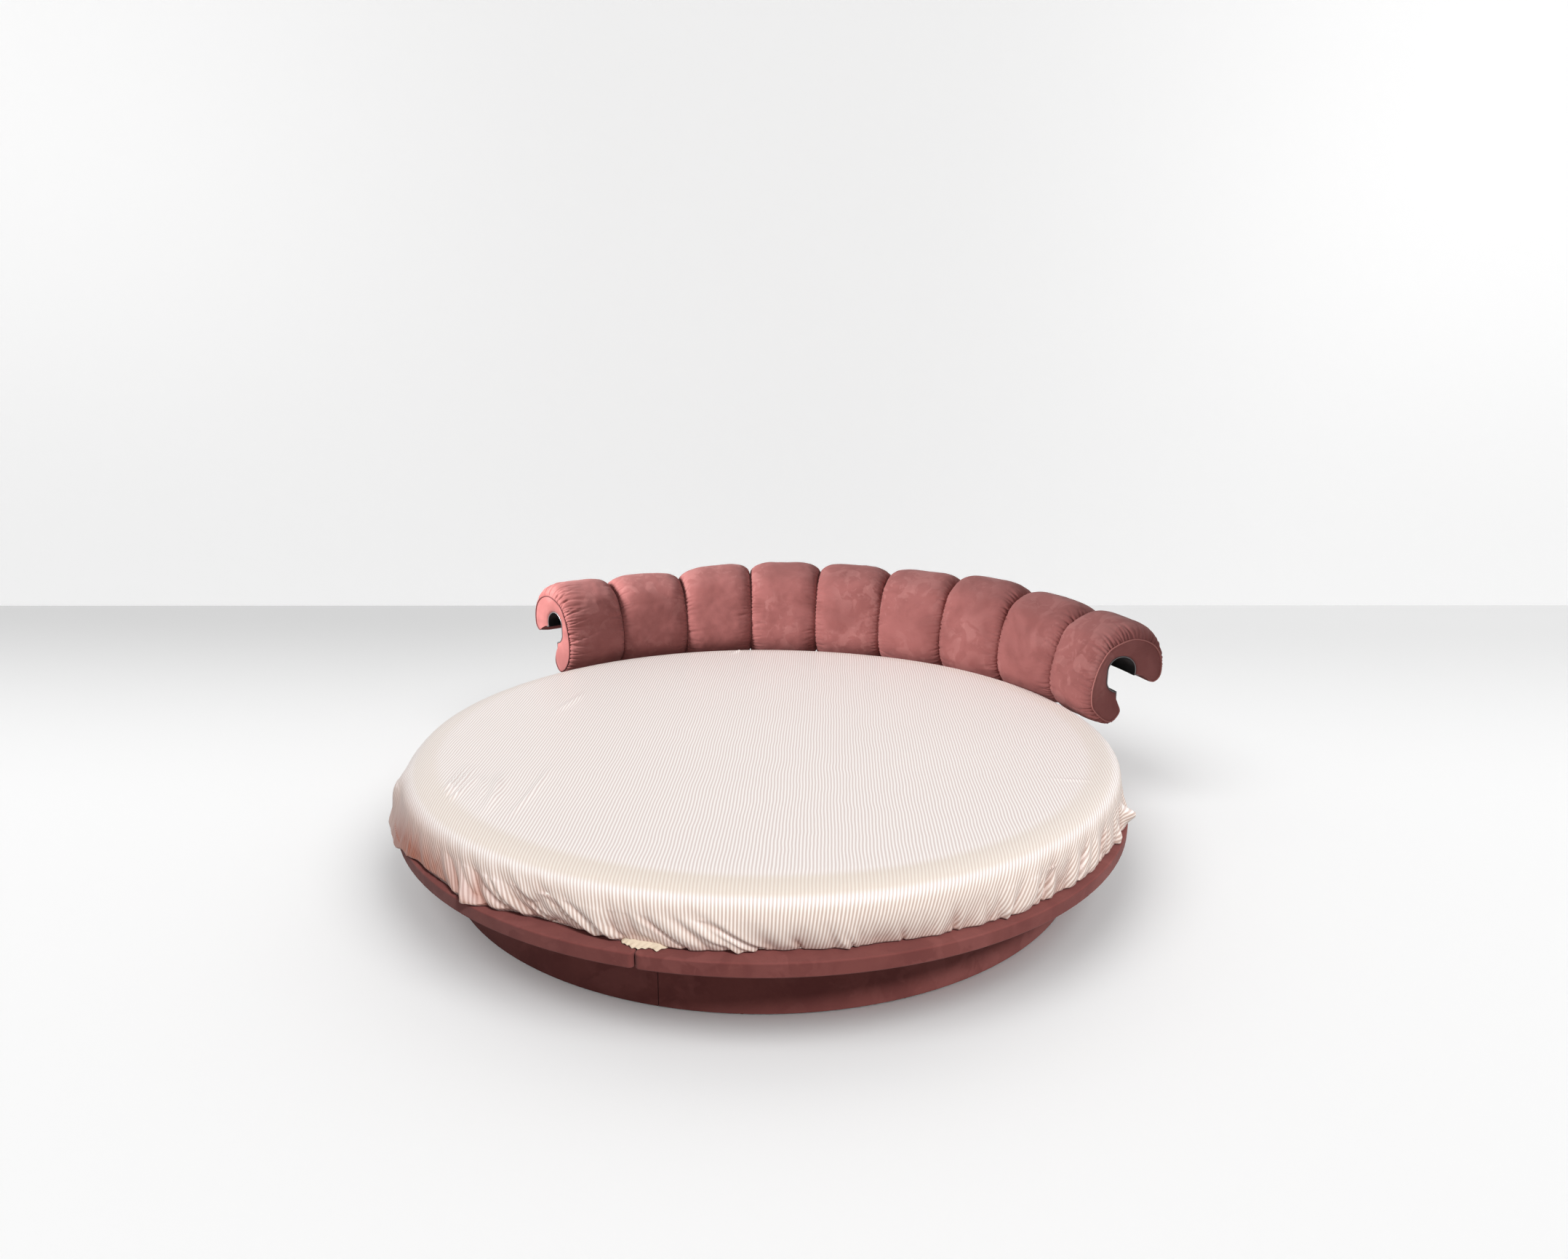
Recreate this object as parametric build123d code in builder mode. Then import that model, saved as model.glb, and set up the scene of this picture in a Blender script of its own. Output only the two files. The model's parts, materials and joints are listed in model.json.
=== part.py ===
from build123d import *
from math import cos, degrees, radians, sin, sqrt
import os

os.makedirs("parts", exist_ok=True)

# Sizes are millimetres and degrees. The origin is on the floor under the centre of the round base.
# The headboard's centre is on +Y, and +X is to the right of someone who stands at the foot.

# Overall base
rim_radius = 1120.0
rim_bottom = 184.0
rim_overhang = 135.0
joint_turn = 4.25
joint_gap = 2.0
cover_thickness = 3.0
cover_ledge = 132.0
cover_corner = 12.0
cover_edge = 4.0
wood_fit = 0.2
cover_fit = 0.2
overrun = 20.0

# Boards of the base
platform_thickness = 30.0
wall_thickness = 18.0
spine_thickness = 18.0
rib_thickness = 18.0
rib_spacing = 450.0
rib_shares = (("front", -1), ("middle", 0), ("back", 1))

# Floor pads
pad_height = 3.0
pad_radius = 9.0
pad_count = 16
centre_pad_radius = 30.0

# Bolts that join the two halves, each with two washers and a nut
joint_bolt_radius = 5.0
joint_bolt_places = (-700.0, -225.0, 225.0, 700.0)
joint_head_height = 6.4
joint_head_radius = 9.2
joint_nut_height = 8.0
joint_washer_radius = 10.0
joint_washer_height = 2.0
joint_bolt_tail = 4.0
bolt_clearance = 0.4
nut_clearance = 0.1

# Screws that hold the platforms on the walls
screw_radius = 2.5
screw_head_radius = 5.0
screw_head_height = 2.5
screw_length = 65.0
screw_turn_shares = (0.1, 0.3, 0.5, 0.7, 0.9)
screw_fit = 0.05
screw_countersink = 90.0
hexagon_sides = 6

# Mattress and fitted sheet
mattress_inset = 20.0
hem_inset = 52.0
mattress_height = 129.7
mattress_crown = 4.0
mattress_corner = 36.0
mattress_foot_corner = 18.0
rest_gap = 0.3
sheet_thickness = 2.2
sheet_gap = 0.3
waist_bow_share = 0.7
crown_share = 0.6
elastic_radius = 2.5
elastic_fit = 0.3

# Headboard
segment_count = 9
segment_pitch = 14.6
end_trim = 1.6
seam_gap = 3.0
head_gap = 7.5
hook_height = 497.0
hollow_radius = 49.0
shell_thickness = 4.0
front_wall_drop = 35.0
lip_radius = 38.0
lip_drop = 27.0
tail_height = 17.0
tail_length = 38.0
pad_fit = 0.3
pad_crown = 53.0
front_push_share = 0.5
front_padding = 49.0
top_padding = 65.0
back_padding = 91.0
lobe_drop = 95.0
arch_rise = 38.0

# Rail, brackets and their fasteners
rail_thickness = 8.0
rail_end_setback = 35.0
rail_fit = 0.3
bracket_width = 60.0
bracket_thickness = 8.0
bracket_bend = 14.0
bracket_standoff = 22.0
bracket_knee = 93.0
bracket_foot_gap = 16.0
bracket_segments = (-2, 0, 2)
shell_screw_radius = 3.0
shell_screw_head_radius = 5.5
shell_screw_head_height = 3.5
shell_screw_spread = 83.0
rail_bolt_radius = 4.0
rail_bolt_head_radius = 6.5
rail_bolt_head_height = 5.0
rail_bolt_spread = 18.0
bracket_screw_radius = 4.0
bracket_screw_length = 34.0
bracket_screw_spacing = 60.0
bracket_screw_setback = 20.0
fastener_clearance = 0.2

# Levels and radii that follow from the sizes above
plinth_radius = rim_radius - rim_overhang
board_radius = rim_radius - cover_thickness
board_setback = joint_gap / 2 + cover_thickness
platform_bottom = rim_bottom + cover_thickness
platform_top = platform_bottom + platform_thickness
rim_top = platform_top + cover_thickness
cover_bottom = pad_height
wall_bottom = cover_bottom + cover_thickness
wall_radius = plinth_radius - cover_thickness
wall_inner_radius = wall_radius - wall_thickness
wall_middle_radius = wall_radius - wall_thickness / 2
spine_outer = board_setback + spine_thickness
bolt_height = (wall_bottom + platform_bottom) / 2

mattress_bottom = rim_top + rest_gap
sheet_growth = sheet_gap + sheet_thickness
core_radius = rim_radius - mattress_inset - sheet_growth
core_foot_radius = rim_radius - hem_inset - sheet_growth
core_top = mattress_bottom + mattress_height - sheet_growth

pad_front = rim_radius - mattress_inset + head_gap + front_push_share * pad_crown
shell_front = pad_front + front_padding
hook_radius = shell_front + shell_thickness + hollow_radius
lip_centre_height = hook_height - front_wall_drop
lip_edge = shell_front + shell_thickness + lip_radius
lip_bottom = lip_centre_height - lip_radius - lip_drop
tail_level = hook_height - tail_height
tail_end = hook_radius + hollow_radius + tail_length - shell_thickness
pad_top = hook_height + hollow_radius + shell_thickness + top_padding
pad_back = hook_radius + hollow_radius + shell_thickness + back_padding
pad_bottom = lip_bottom - lobe_drop
half_span = segment_count * segment_pitch / 2 - end_trim
seam_turn = degrees(seam_gap / 2 / hook_radius)

rail_inner_radius = shell_front + shell_thickness + rail_fit
rail_outer_radius = rail_inner_radius + rail_thickness
rail_half_span = half_span - degrees(rail_end_setback / rail_inner_radius)
rail_bottom = lip_centre_height + rail_fit
rail_top = hook_height
rail_middle = (rail_bottom + rail_top) / 2

# Frames: base_frame is turned so that its Y axis runs along the joint of the two halves
base_frame = Plane.XY.rotated((0, 0, joint_turn))
joint_plane = Plane(origin=(0, 0, 0), x_dir=base_frame.y_dir, z_dir=base_frame.x_dir)
sides = (("left", -1), ("right", 1))


def section_plane(turn):
    # Upright plane through the centre line, with its x along the radius at this turn from +Y towards +X
    outward = (sin(radians(turn)), cos(radians(turn)), 0)
    return Plane(origin=(0, 0, 0), x_dir=outward, z_dir=(outward[1], -outward[0], 0))


def outward_plane(turn, radius, height):
    # Plane that faces outward on the radius at this turn
    outward = (sin(radians(turn)), cos(radians(turn)), 0)
    spot = (radius * outward[0], radius * outward[1], height)
    return Plane(origin=spot, x_dir=(outward[1], -outward[0], 0), z_dir=outward)


def draw_half_disc(radius, setback, side, corner=0.0):
    # Half disc on one side of the joint line, set back from it, with optional round corners
    Circle(radius)
    with Locations((side * (setback + radius / 2), 0)):
        Rectangle(radius, 2 * radius, mode=Mode.INTERSECT)
    if corner > 0:
        fillet(vertices(), corner)


def finish(piece, name):
    piece.part.label = name
    export_step(piece.part, "parts/" + name + ".step")
    print(name, len(piece.part.solids()), round(piece.part.volume / 1e3), "cm3")


# Places on the base

screw_turns = [side * 180.0 * share for side in (-1, 1) for share in screw_turn_shares]
screw_places = [
    base_frame.offset(platform_top).location
    * Location((wall_middle_radius * sin(radians(turn)), -wall_middle_radius * cos(radians(turn)), 0))
    for turn in screw_turns
]
pad_turn_step = 360.0 / pad_count
pad_turns = [(number + 0.5) * pad_turn_step for number in range(pad_count)]

# Places on the headboard

seam_turns = [(number - segment_count / 2) * segment_pitch for number in range(segment_count + 1)]
seam_turns[0] = -half_span
seam_turns[-1] = half_span
segment_turns = [(first + last) / 2 for first, last in zip(seam_turns, seam_turns[1:])]
segment_half_widths = [(last - first) / 2 for first, last in zip(seam_turns, seam_turns[1:])]
bracket_turns = [number * segment_pitch for number in bracket_segments]
shell_screw_turn = degrees(shell_screw_spread / hook_radius)
shell_screw_places = [turn + way * shell_screw_turn for turn in segment_turns for way in (-1, 1)]
bracket_foot_start = plinth_radius + bracket_foot_gap
bracket_foot_level = rim_bottom - cover_fit - bracket_thickness / 2
bracket_post_radius = hook_radius + bracket_standoff + bracket_thickness / 2
bracket_head_radius = rail_outer_radius + rail_fit + bracket_thickness / 2
bracket_screw_radii = [
    bracket_foot_start + bracket_screw_setback,
    bracket_foot_start + bracket_screw_setback + bracket_screw_spacing,
]


# Plinth walls, spines and ribs

for side_name, side in sides:
    with BuildPart() as plinth_wall:
        with BuildSketch(base_frame.offset(wall_bottom)):
            draw_half_disc(wall_radius, board_setback, side)
            Circle(wall_inner_radius, mode=Mode.SUBTRACT)
        extrude(amount=platform_bottom - wall_bottom)
        with Locations(*screw_places):
            Cylinder(screw_radius + screw_fit, 2 * (screw_length + screw_fit), mode=Mode.SUBTRACT)
    finish(plinth_wall, "plinth_wall_" + side_name)

    with BuildPart() as spine:
        with BuildSketch(base_frame.offset(wall_bottom)):
            Circle(wall_inner_radius - wood_fit)
            with Locations((side * (board_setback + spine_thickness / 2), 0)):
                Rectangle(spine_thickness, 2 * wall_radius, mode=Mode.INTERSECT)
        extrude(amount=platform_bottom - wall_bottom)
        with BuildSketch(joint_plane):
            with Locations(*[(place, bolt_height) for place in joint_bolt_places]):
                Circle(joint_bolt_radius + bolt_clearance)
        extrude(amount=spine_outer + overrun, both=True, mode=Mode.SUBTRACT)
    finish(spine, "spine_" + side_name)

    for rib_name, rib_share in rib_shares:
        with BuildPart() as rib:
            with BuildSketch(base_frame.offset(wall_bottom)):
                Circle(wall_inner_radius - wood_fit)
                rib_start = spine_outer + wood_fit
                with Locations((side * (rib_start + wall_radius / 2), rib_share * rib_spacing)):
                    Rectangle(wall_radius, rib_thickness, mode=Mode.INTERSECT)
            extrude(amount=platform_bottom - wall_bottom)
        finish(rib, "rib_" + side_name + "_" + rib_name)


# Plinth covers: suede round the outside, over the wall's ends at the joint and under its bottom edge

for side_name, side in sides:
    with BuildPart() as plinth_cover:
        with BuildSketch(base_frame.offset(cover_bottom)):
            draw_half_disc(plinth_radius, joint_gap / 2, side)
            Circle(wall_inner_radius, mode=Mode.SUBTRACT)
        extrude(amount=platform_bottom - cover_fit - cover_bottom)
        with BuildSketch(base_frame.offset(wall_bottom)):
            draw_half_disc(wall_radius, board_setback, side)
        extrude(amount=platform_bottom, mode=Mode.SUBTRACT)
    finish(plinth_cover, "plinth_cover_" + side_name)


# Platforms

for side_name, side in sides:
    with BuildPart() as platform:
        with BuildSketch(base_frame.offset(platform_bottom)):
            draw_half_disc(board_radius, board_setback, side, cover_corner - cover_thickness)
        extrude(amount=platform_thickness)
        with Locations(*screw_places):
            CounterSinkHole(
                screw_radius + screw_fit,
                screw_head_radius + screw_fit,
                platform_thickness + screw_fit,
                screw_countersink,
            )
        for turn in bracket_turns:
            for radius in bracket_screw_radii:
                with Locations(section_plane(turn).location * Location((radius, rim_bottom, 0), (90, 0, 0))):
                    Cylinder(
                        bracket_screw_radius + fastener_clearance,
                        2 * (bracket_screw_length - bracket_thickness + fastener_clearance),
                        mode=Mode.SUBTRACT,
                    )
    finish(platform, "platform_" + side_name)


# Rim covers: suede over the ledge, the edge, the underside of the overhang and the ends at the joint

for side_name, side in sides:
    with BuildPart() as rim_cover:
        with BuildSketch(base_frame.offset(rim_bottom)):
            draw_half_disc(rim_radius, joint_gap / 2, side, cover_corner)
        extrude(amount=rim_top - rim_bottom)
        rim_edges = rim_cover.edges().filter_by(GeomType.CIRCLE).filter_by(
            lambda edge: edge.radius > rim_radius - cover_corner
        )
        fillet(rim_edges, cover_edge)
        with BuildSketch(base_frame.offset(platform_bottom)):
            draw_half_disc(board_radius, board_setback, side, cover_corner - cover_thickness)
        extrude(amount=platform_thickness, mode=Mode.SUBTRACT)
        with BuildSketch(base_frame.offset(rim_bottom)):
            Circle(rim_radius - cover_ledge)
        extrude(amount=rim_top - rim_bottom, mode=Mode.SUBTRACT)
        for turn in bracket_turns:
            for radius in bracket_screw_radii:
                with Locations(section_plane(turn).location * Location((radius, rim_bottom, 0), (90, 0, 0))):
                    Cylinder(
                        bracket_screw_radius + fastener_clearance,
                        2 * (cover_thickness + cover_fit),
                        mode=Mode.SUBTRACT,
                    )
    finish(rim_cover, "rim_cover_" + side_name)


# Fasteners and floor pads of the base

with BuildPart() as joint_bolts:
    head_face = spine_outer + joint_washer_height
    with BuildSketch(joint_plane.offset(-head_face)):
        with Locations(*[(place, bolt_height) for place in joint_bolt_places]):
            Circle(joint_bolt_radius)
    extrude(amount=2 * head_face + joint_nut_height + joint_bolt_tail)
    with BuildSketch(joint_plane.offset(-head_face)):
        with Locations(*[(place, bolt_height) for place in joint_bolt_places]):
            RegularPolygon(joint_head_radius, hexagon_sides)
    extrude(amount=-joint_head_height)
finish(joint_bolts, "joint_bolts")

with BuildPart() as joint_nuts:
    with BuildSketch(joint_plane.offset(head_face)):
        with Locations(*[(place, bolt_height) for place in joint_bolt_places]):
            RegularPolygon(joint_head_radius, hexagon_sides)
            Circle(joint_bolt_radius + nut_clearance, mode=Mode.SUBTRACT)
    extrude(amount=joint_nut_height)
finish(joint_nuts, "joint_nuts")

with BuildPart() as joint_washers:
    for face in (-head_face, spine_outer):
        with BuildSketch(joint_plane.offset(face)):
            with Locations(*[(place, bolt_height) for place in joint_bolt_places]):
                Circle(joint_washer_radius)
                Circle(joint_bolt_radius + bolt_clearance, mode=Mode.SUBTRACT)
        extrude(amount=joint_washer_height)
finish(joint_washers, "joint_washers")

with BuildPart(mode=Mode.PRIVATE) as screw_blank:
    with BuildSketch(Plane.XZ):
        with BuildLine():
            Polyline(
                (0, 0),
                (screw_head_radius, 0),
                (screw_radius, -screw_head_height),
                (screw_radius, -screw_length),
                (0, -screw_length),
                close=True,
            )
        make_face()
    revolve(axis=Axis.Z)

with BuildPart() as platform_screws:
    with Locations(*screw_places):
        add(screw_blank.part)
finish(platform_screws, "platform_screws")

with BuildPart() as floor_pads:
    with BuildSketch(base_frame):
        for turn in pad_turns:
            with Locations((wall_middle_radius * sin(radians(turn)), wall_middle_radius * cos(radians(turn)))):
                Circle(pad_radius)
    extrude(amount=pad_height)
finish(floor_pads, "floor_pads")

with BuildPart() as centre_floor_pad:
    with BuildSketch(base_frame):
        Circle(centre_pad_radius)
    extrude(amount=wall_bottom)
finish(centre_floor_pad, "centre_floor_pad")


# Mattress and sheet

def draw_mattress_side(growth, top, bottom, mode=Mode.ADD):
    # Half section of the mattress, from its foot to the crowned top, grown outward for the sheet
    foot = core_foot_radius + growth
    side_radius = core_radius + growth
    shoulder = top - mattress_corner
    waist = (bottom + shoulder) / 2
    corner_share = 1 - sqrt(0.5)
    waist_side = foot + waist_bow_share * (side_radius - foot)
    flat = side_radius - mattress_corner
    foot_corner = mattress_foot_corner + growth
    with BuildLine() as half_section:
        Polyline(
            (crown_share * flat, top + mattress_crown),
            (0, top + mattress_crown),
            (0, bottom),
            (foot - foot_corner, bottom),
        )
        ThreePointArc(
            (foot - foot_corner, bottom),
            (foot - corner_share * foot_corner, bottom + corner_share * foot_corner),
            (foot, bottom + foot_corner),
        )
        ThreePointArc((foot, bottom + foot_corner), (waist_side, waist), (side_radius, shoulder))
        ThreePointArc(
            (side_radius, shoulder),
            (side_radius - corner_share * mattress_corner, top - corner_share * mattress_corner),
            (flat, top),
        )
        Line((flat, top), (crown_share * flat, top + mattress_crown))
    make_face(half_section.edges(), mode=mode)


with BuildPart() as mattress_core:
    with BuildSketch(Plane.XZ):
        draw_mattress_side(0, core_top, mattress_bottom)
    revolve(axis=Axis.Z)
finish(mattress_core, "mattress_core")

sheet_top = core_top + sheet_growth
elastic_reach = (mattress_foot_corner + elastic_fit + elastic_radius) * sqrt(0.5)
elastic_ring_radius = core_foot_radius - mattress_foot_corner + elastic_reach
elastic_level = mattress_bottom + mattress_foot_corner - elastic_reach
elastic_groove = elastic_radius + elastic_fit

with BuildPart() as fitted_sheet:
    with BuildSketch(Plane.XZ):
        draw_mattress_side(sheet_growth, sheet_top, mattress_bottom - sheet_growth)
        draw_mattress_side(sheet_gap, core_top + sheet_gap, mattress_bottom - sheet_gap, Mode.SUBTRACT)
        # Room for the elastic, open inward and downward
        with Locations((elastic_ring_radius + elastic_groove, elastic_level + elastic_groove)):
            Rectangle(rim_radius, rim_radius, align=(Align.MAX, Align.MAX), mode=Mode.SUBTRACT)
    revolve(axis=Axis.Z)
finish(fitted_sheet, "fitted_sheet")

with BuildPart() as sheet_elastic:
    with BuildSketch(Plane.XZ):
        with Locations((elastic_ring_radius, elastic_level)):
            Circle(elastic_radius)
    revolve(axis=Axis.Z)
finish(sheet_elastic, "sheet_elastic")


# Headboard shells: a hook section that is turned about the bed's centre line, one for each segment

def hook_lines(growth):
    # The hook's line from the lip to the tail, at this distance outside the hollow
    inner = hollow_radius + growth
    lower = lip_radius + growth
    tail_start = hook_radius + sqrt(inner**2 - (tail_height - growth) ** 2)
    lip_level = lip_centre_height - sqrt(lower**2 - growth**2)
    diagonal = sqrt(0.5)
    Line((lip_edge - growth, lip_bottom), (lip_edge - growth, lip_level))
    ThreePointArc(
        (lip_edge - growth, lip_level),
        (lip_edge - diagonal * lower, lip_centre_height - diagonal * lower),
        (lip_edge - lower, lip_centre_height),
    )
    Line((lip_edge - lower, lip_centre_height), (hook_radius - inner, hook_height))
    ThreePointArc(
        (hook_radius - inner, hook_height),
        (hook_radius - diagonal * inner, hook_height + diagonal * inner),
        (hook_radius, hook_height + inner),
    )
    ThreePointArc(
        (hook_radius, hook_height + inner),
        (hook_radius + diagonal * inner, hook_height + diagonal * inner),
        (tail_start, tail_level + growth),
    )
    Line((tail_start, tail_level + growth), (tail_end, tail_level + growth))


for number, (turn, half_width) in enumerate(zip(segment_turns, segment_half_widths), start=1):
    with BuildPart() as headboard_shell:
        first, last = turn - half_width + seam_turn, turn + half_width - seam_turn
        with BuildSketch(section_plane(last)):
            with BuildLine():
                hook_lines(0)
                hook_lines(shell_thickness)
                Line((lip_edge, lip_bottom), (lip_edge - shell_thickness, lip_bottom))
                Line((tail_end, tail_level), (tail_end, tail_level + shell_thickness))
            make_face()
        revolve(axis=Axis.Z, revolution_arc=last - first)
        for screw_turn in shell_screw_places:
            if first < screw_turn < last:
                with Locations(outward_plane(screw_turn, shell_front, rail_middle).location):
                    Cylinder(shell_screw_radius + fastener_clearance, overrun, mode=Mode.SUBTRACT)
    finish(headboard_shell, "headboard_shell_" + str(number))


# Headboard pads: a crowned cushion round each shell. Each row is a point of the outline as shares of the
# section's depth and height, then its push outward as shares of the crown, and its share of the arch's rise

outline_shares = (
    (0.43, 0.154, 0.15, -0.05, 0.15),
    (0.39, 0.05, 0.2, -0.25, 0.15),
    (0.293, 0, 0, -0.4, 0.15),
    (0.138, 0.068, -0.25, -0.3, 0.2),
    (0.024, 0.222, -0.45, -0.1, 0.4),
    (0, 0.41, -front_push_share, 0, 0.65),
    (0.041, 0.597, -0.55, 0.05, 0.85),
    (0.114, 0.754, -0.6, 0.3, 1),
    (0.252, 0.904, -0.5, 0.7, 1),
    (0.553, 1, 0, 1, 1),
    (0.821, 0.952, 0.45, 0.8, 1),
    (0.976, 0.809, 0.5, 0.35, 1),
    (1, 0.597, 0.4, 0, 0.8),
    (0.894, 0.502, 0.1, -0.15, 0.3),
)
# Crown of a pad across its width: place from the seam to the middle, and the share of the crown there
crown_shares = ((1, 0), (0.93, 0.46), (0.76, 0.82), (0.42, 0.97), (0, 1))
# Rise of the pads at the seams between them, from the left end to the right end
rise_shares = (-0.1, -0.1, 0.1, 0.9, 1.05, 0.9, 0.85, 0.6, 0, -0.2)
# Fullness of each pad's crown
fullness_shares = (1, 1, 1.1, 1.05, 1, 1, 1.15, 1, 1)


def pad_points(crown, rise):
    # Points of a pad's section, from the lip round the front and the top to the tail
    depth = pad_back - pad_front
    height = pad_top - pad_bottom
    points = [(lip_edge - shell_thickness / 2, lip_bottom)]
    for across, up, push_out, push_up, lift in outline_shares:
        points.append((
            pad_front + across * depth + push_out * crown,
            pad_bottom + up * height + push_up * crown + lift * rise,
        ))
    points.append((tail_end + pad_fit, tail_level + shell_thickness / 2))
    return points


def draw_pad(crown, rise):
    points = pad_points(crown, rise)
    with BuildLine() as section:
        ThreePointArc(points[0], points[1], points[2])
        ThreePointArc(points[2], points[3], points[4])
        ThreePointArc(points[4], points[5], points[6])
        ThreePointArc(points[6], points[7], points[8])
        ThreePointArc(points[8], points[9], points[10])
        ThreePointArc(points[10], points[11], points[12])
        ThreePointArc(points[12], points[13], points[14])
        Line(points[14], points[15])
        Line(points[15], points[0])
    make_face(section.edges())


section_places = [(-place, share) for place, share in crown_shares] + [
    (place, share) for place, share in reversed(crown_shares[:-1])
]
for number, (turn, half_width) in enumerate(zip(segment_turns, segment_half_widths), start=1):
    half_turn = half_width - seam_turn
    with BuildPart() as headboard_pad:
        crown_height = pad_crown * fullness_shares[number - 1]
        left_rise = arch_rise * rise_shares[number - 1]
        right_rise = arch_rise * rise_shares[number]
        for place, share in section_places:
            rise = left_rise + (right_rise - left_rise) * (1 + place) / 2
            with BuildSketch(section_plane(turn + place * half_turn)):
                draw_pad(crown_height * share, rise)
        loft()
        # Room for the shell and the hollow behind it
        first, last = turn - half_width - seam_turn, turn + half_width + seam_turn
        with BuildSketch(section_plane(last)):
            growth = shell_thickness + pad_fit
            with BuildLine():
                hook_lines(growth)
                Polyline(
                    (tail_end, tail_level + growth),
                    (tail_end + pad_fit, tail_level + growth),
                    (tail_end + pad_fit, lip_centre_height - lip_radius),
                    (hook_radius, lip_bottom - pad_fit),
                    (lip_edge - growth, lip_bottom - pad_fit),
                    (lip_edge - growth, lip_bottom),
                )
            make_face()
        revolve(axis=Axis.Z, revolution_arc=last - first, mode=Mode.SUBTRACT)
    finish(headboard_pad, "headboard_pad_" + str(number))


# Rail inside the hooks, with holes for the shells' screws and the brackets' bolts

bracket_face_radius = bracket_head_radius + bracket_thickness / 2
rail_bolt_places = [
    outward_plane(turn, bracket_face_radius, rail_middle).location * Location((way * rail_bolt_spread, 0, 0))
    for turn in bracket_turns
    for way in (-1, 1)
]
rail_bolt_length = bracket_thickness + rail_fit + rail_thickness

with BuildPart() as headboard_rail:
    with BuildSketch(section_plane(rail_half_span)):
        with Locations(((rail_inner_radius + rail_outer_radius) / 2, rail_middle)):
            Rectangle(rail_thickness, rail_top - rail_bottom)
    revolve(axis=Axis.Z, revolution_arc=2 * rail_half_span)
    for screw_turn in shell_screw_places:
        with Locations(outward_plane(screw_turn, rail_outer_radius, rail_middle).location):
            Cylinder(shell_screw_radius + fastener_clearance, 2 * overrun, mode=Mode.SUBTRACT)
    with Locations(*rail_bolt_places):
        Cylinder(rail_bolt_radius + fastener_clearance, 4 * overrun, mode=Mode.SUBTRACT)
finish(headboard_rail, "headboard_rail")


# Bent brackets from the overhang's underside to the rail

bracket_names = ("left", "centre", "right")
for name, turn in zip(bracket_names, bracket_turns):
    with BuildPart() as headboard_bracket:
        with BuildSketch(section_plane(turn)):
            with BuildLine():
                FilletPolyline(
                    (bracket_foot_start, bracket_foot_level),
                    (bracket_post_radius, bracket_foot_level),
                    (bracket_post_radius, hook_height - bracket_knee),
                    (bracket_head_radius, rail_bottom),
                    (bracket_head_radius, rail_top),
                    radius=bracket_bend,
                )
            trace(line_width=bracket_thickness)
        extrude(amount=bracket_width / 2, both=True)
        with Locations(*rail_bolt_places):
            Cylinder(rail_bolt_radius + fastener_clearance, 2 * overrun, mode=Mode.SUBTRACT)
        for radius in bracket_screw_radii:
            with Locations(section_plane(turn).location * Location((radius, bracket_foot_level, 0), (90, 0, 0))):
                Cylinder(bracket_screw_radius + fastener_clearance, overrun, mode=Mode.SUBTRACT)
    finish(headboard_bracket, "headboard_bracket_" + name)


# Fasteners of the headboard. Each is turned from its head's bearing face, with the shank along minus Z

def draw_screw(radius, length, head_radius, head_height):
    Cylinder(radius, length, align=(Align.CENTER, Align.CENTER, Align.MAX))
    Cylinder(head_radius, head_height, align=(Align.CENTER, Align.CENTER, Align.MIN))


with BuildPart() as shell_screws:
    with Locations(*[outward_plane(turn, rail_outer_radius, rail_middle).location for turn in shell_screw_places]):
        draw_screw(
            shell_screw_radius,
            rail_thickness + rail_fit + shell_thickness,
            shell_screw_head_radius,
            shell_screw_head_height,
        )
finish(shell_screws, "shell_screws")

with BuildPart() as rail_bolts:
    with Locations(*rail_bolt_places):
        draw_screw(rail_bolt_radius, rail_bolt_length, rail_bolt_head_radius, rail_bolt_head_height)
finish(rail_bolts, "rail_bolts")

with BuildPart() as bracket_screws:
    foot_face = bracket_foot_level - bracket_thickness / 2
    for turn in bracket_turns:
        for radius in bracket_screw_radii:
            with Locations(section_plane(turn).location * Location((radius, foot_face, 0), (90, 0, 0))):
                draw_screw(
                    bracket_screw_radius, bracket_screw_length, rail_bolt_head_radius, rail_bolt_head_height
                )
finish(bracket_screws, "bracket_screws")
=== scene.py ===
import json
import math
import random

import bmesh
import bpy
import numpy as np
from mathutils import Euler, Matrix, Vector, noise


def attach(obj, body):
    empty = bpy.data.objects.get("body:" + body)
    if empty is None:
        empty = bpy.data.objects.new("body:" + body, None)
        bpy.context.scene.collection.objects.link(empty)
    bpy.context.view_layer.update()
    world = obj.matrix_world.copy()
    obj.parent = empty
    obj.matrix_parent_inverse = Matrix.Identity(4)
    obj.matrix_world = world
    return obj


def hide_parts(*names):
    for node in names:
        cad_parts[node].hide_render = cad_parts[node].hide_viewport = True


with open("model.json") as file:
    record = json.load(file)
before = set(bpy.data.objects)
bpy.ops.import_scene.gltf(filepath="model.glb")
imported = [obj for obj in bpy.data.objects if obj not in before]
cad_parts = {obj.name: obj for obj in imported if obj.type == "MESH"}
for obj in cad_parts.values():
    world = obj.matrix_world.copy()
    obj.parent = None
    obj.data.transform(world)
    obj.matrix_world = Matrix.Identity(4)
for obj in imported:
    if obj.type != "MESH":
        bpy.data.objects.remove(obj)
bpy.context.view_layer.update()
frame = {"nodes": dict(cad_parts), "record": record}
nodes = frame["nodes"]
print("frame loaded,", len(nodes), "nodes")

# Metres and degrees. The origin is on the floor under the base, and the headboard's middle is on +Y.

# The photograph's camera
photoView = {
    "place": (0.861, -2.581, 1.279),
    "yaw": 17.25,
    "pitch": 12.54,
    "roll": 0.556,
    "lens": 20.04,
    "sensor": 36.0,
}


def addObject(name, data):
    item = bpy.data.objects.new(name, data)
    bpy.context.scene.collection.objects.link(item)
    return item


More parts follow.
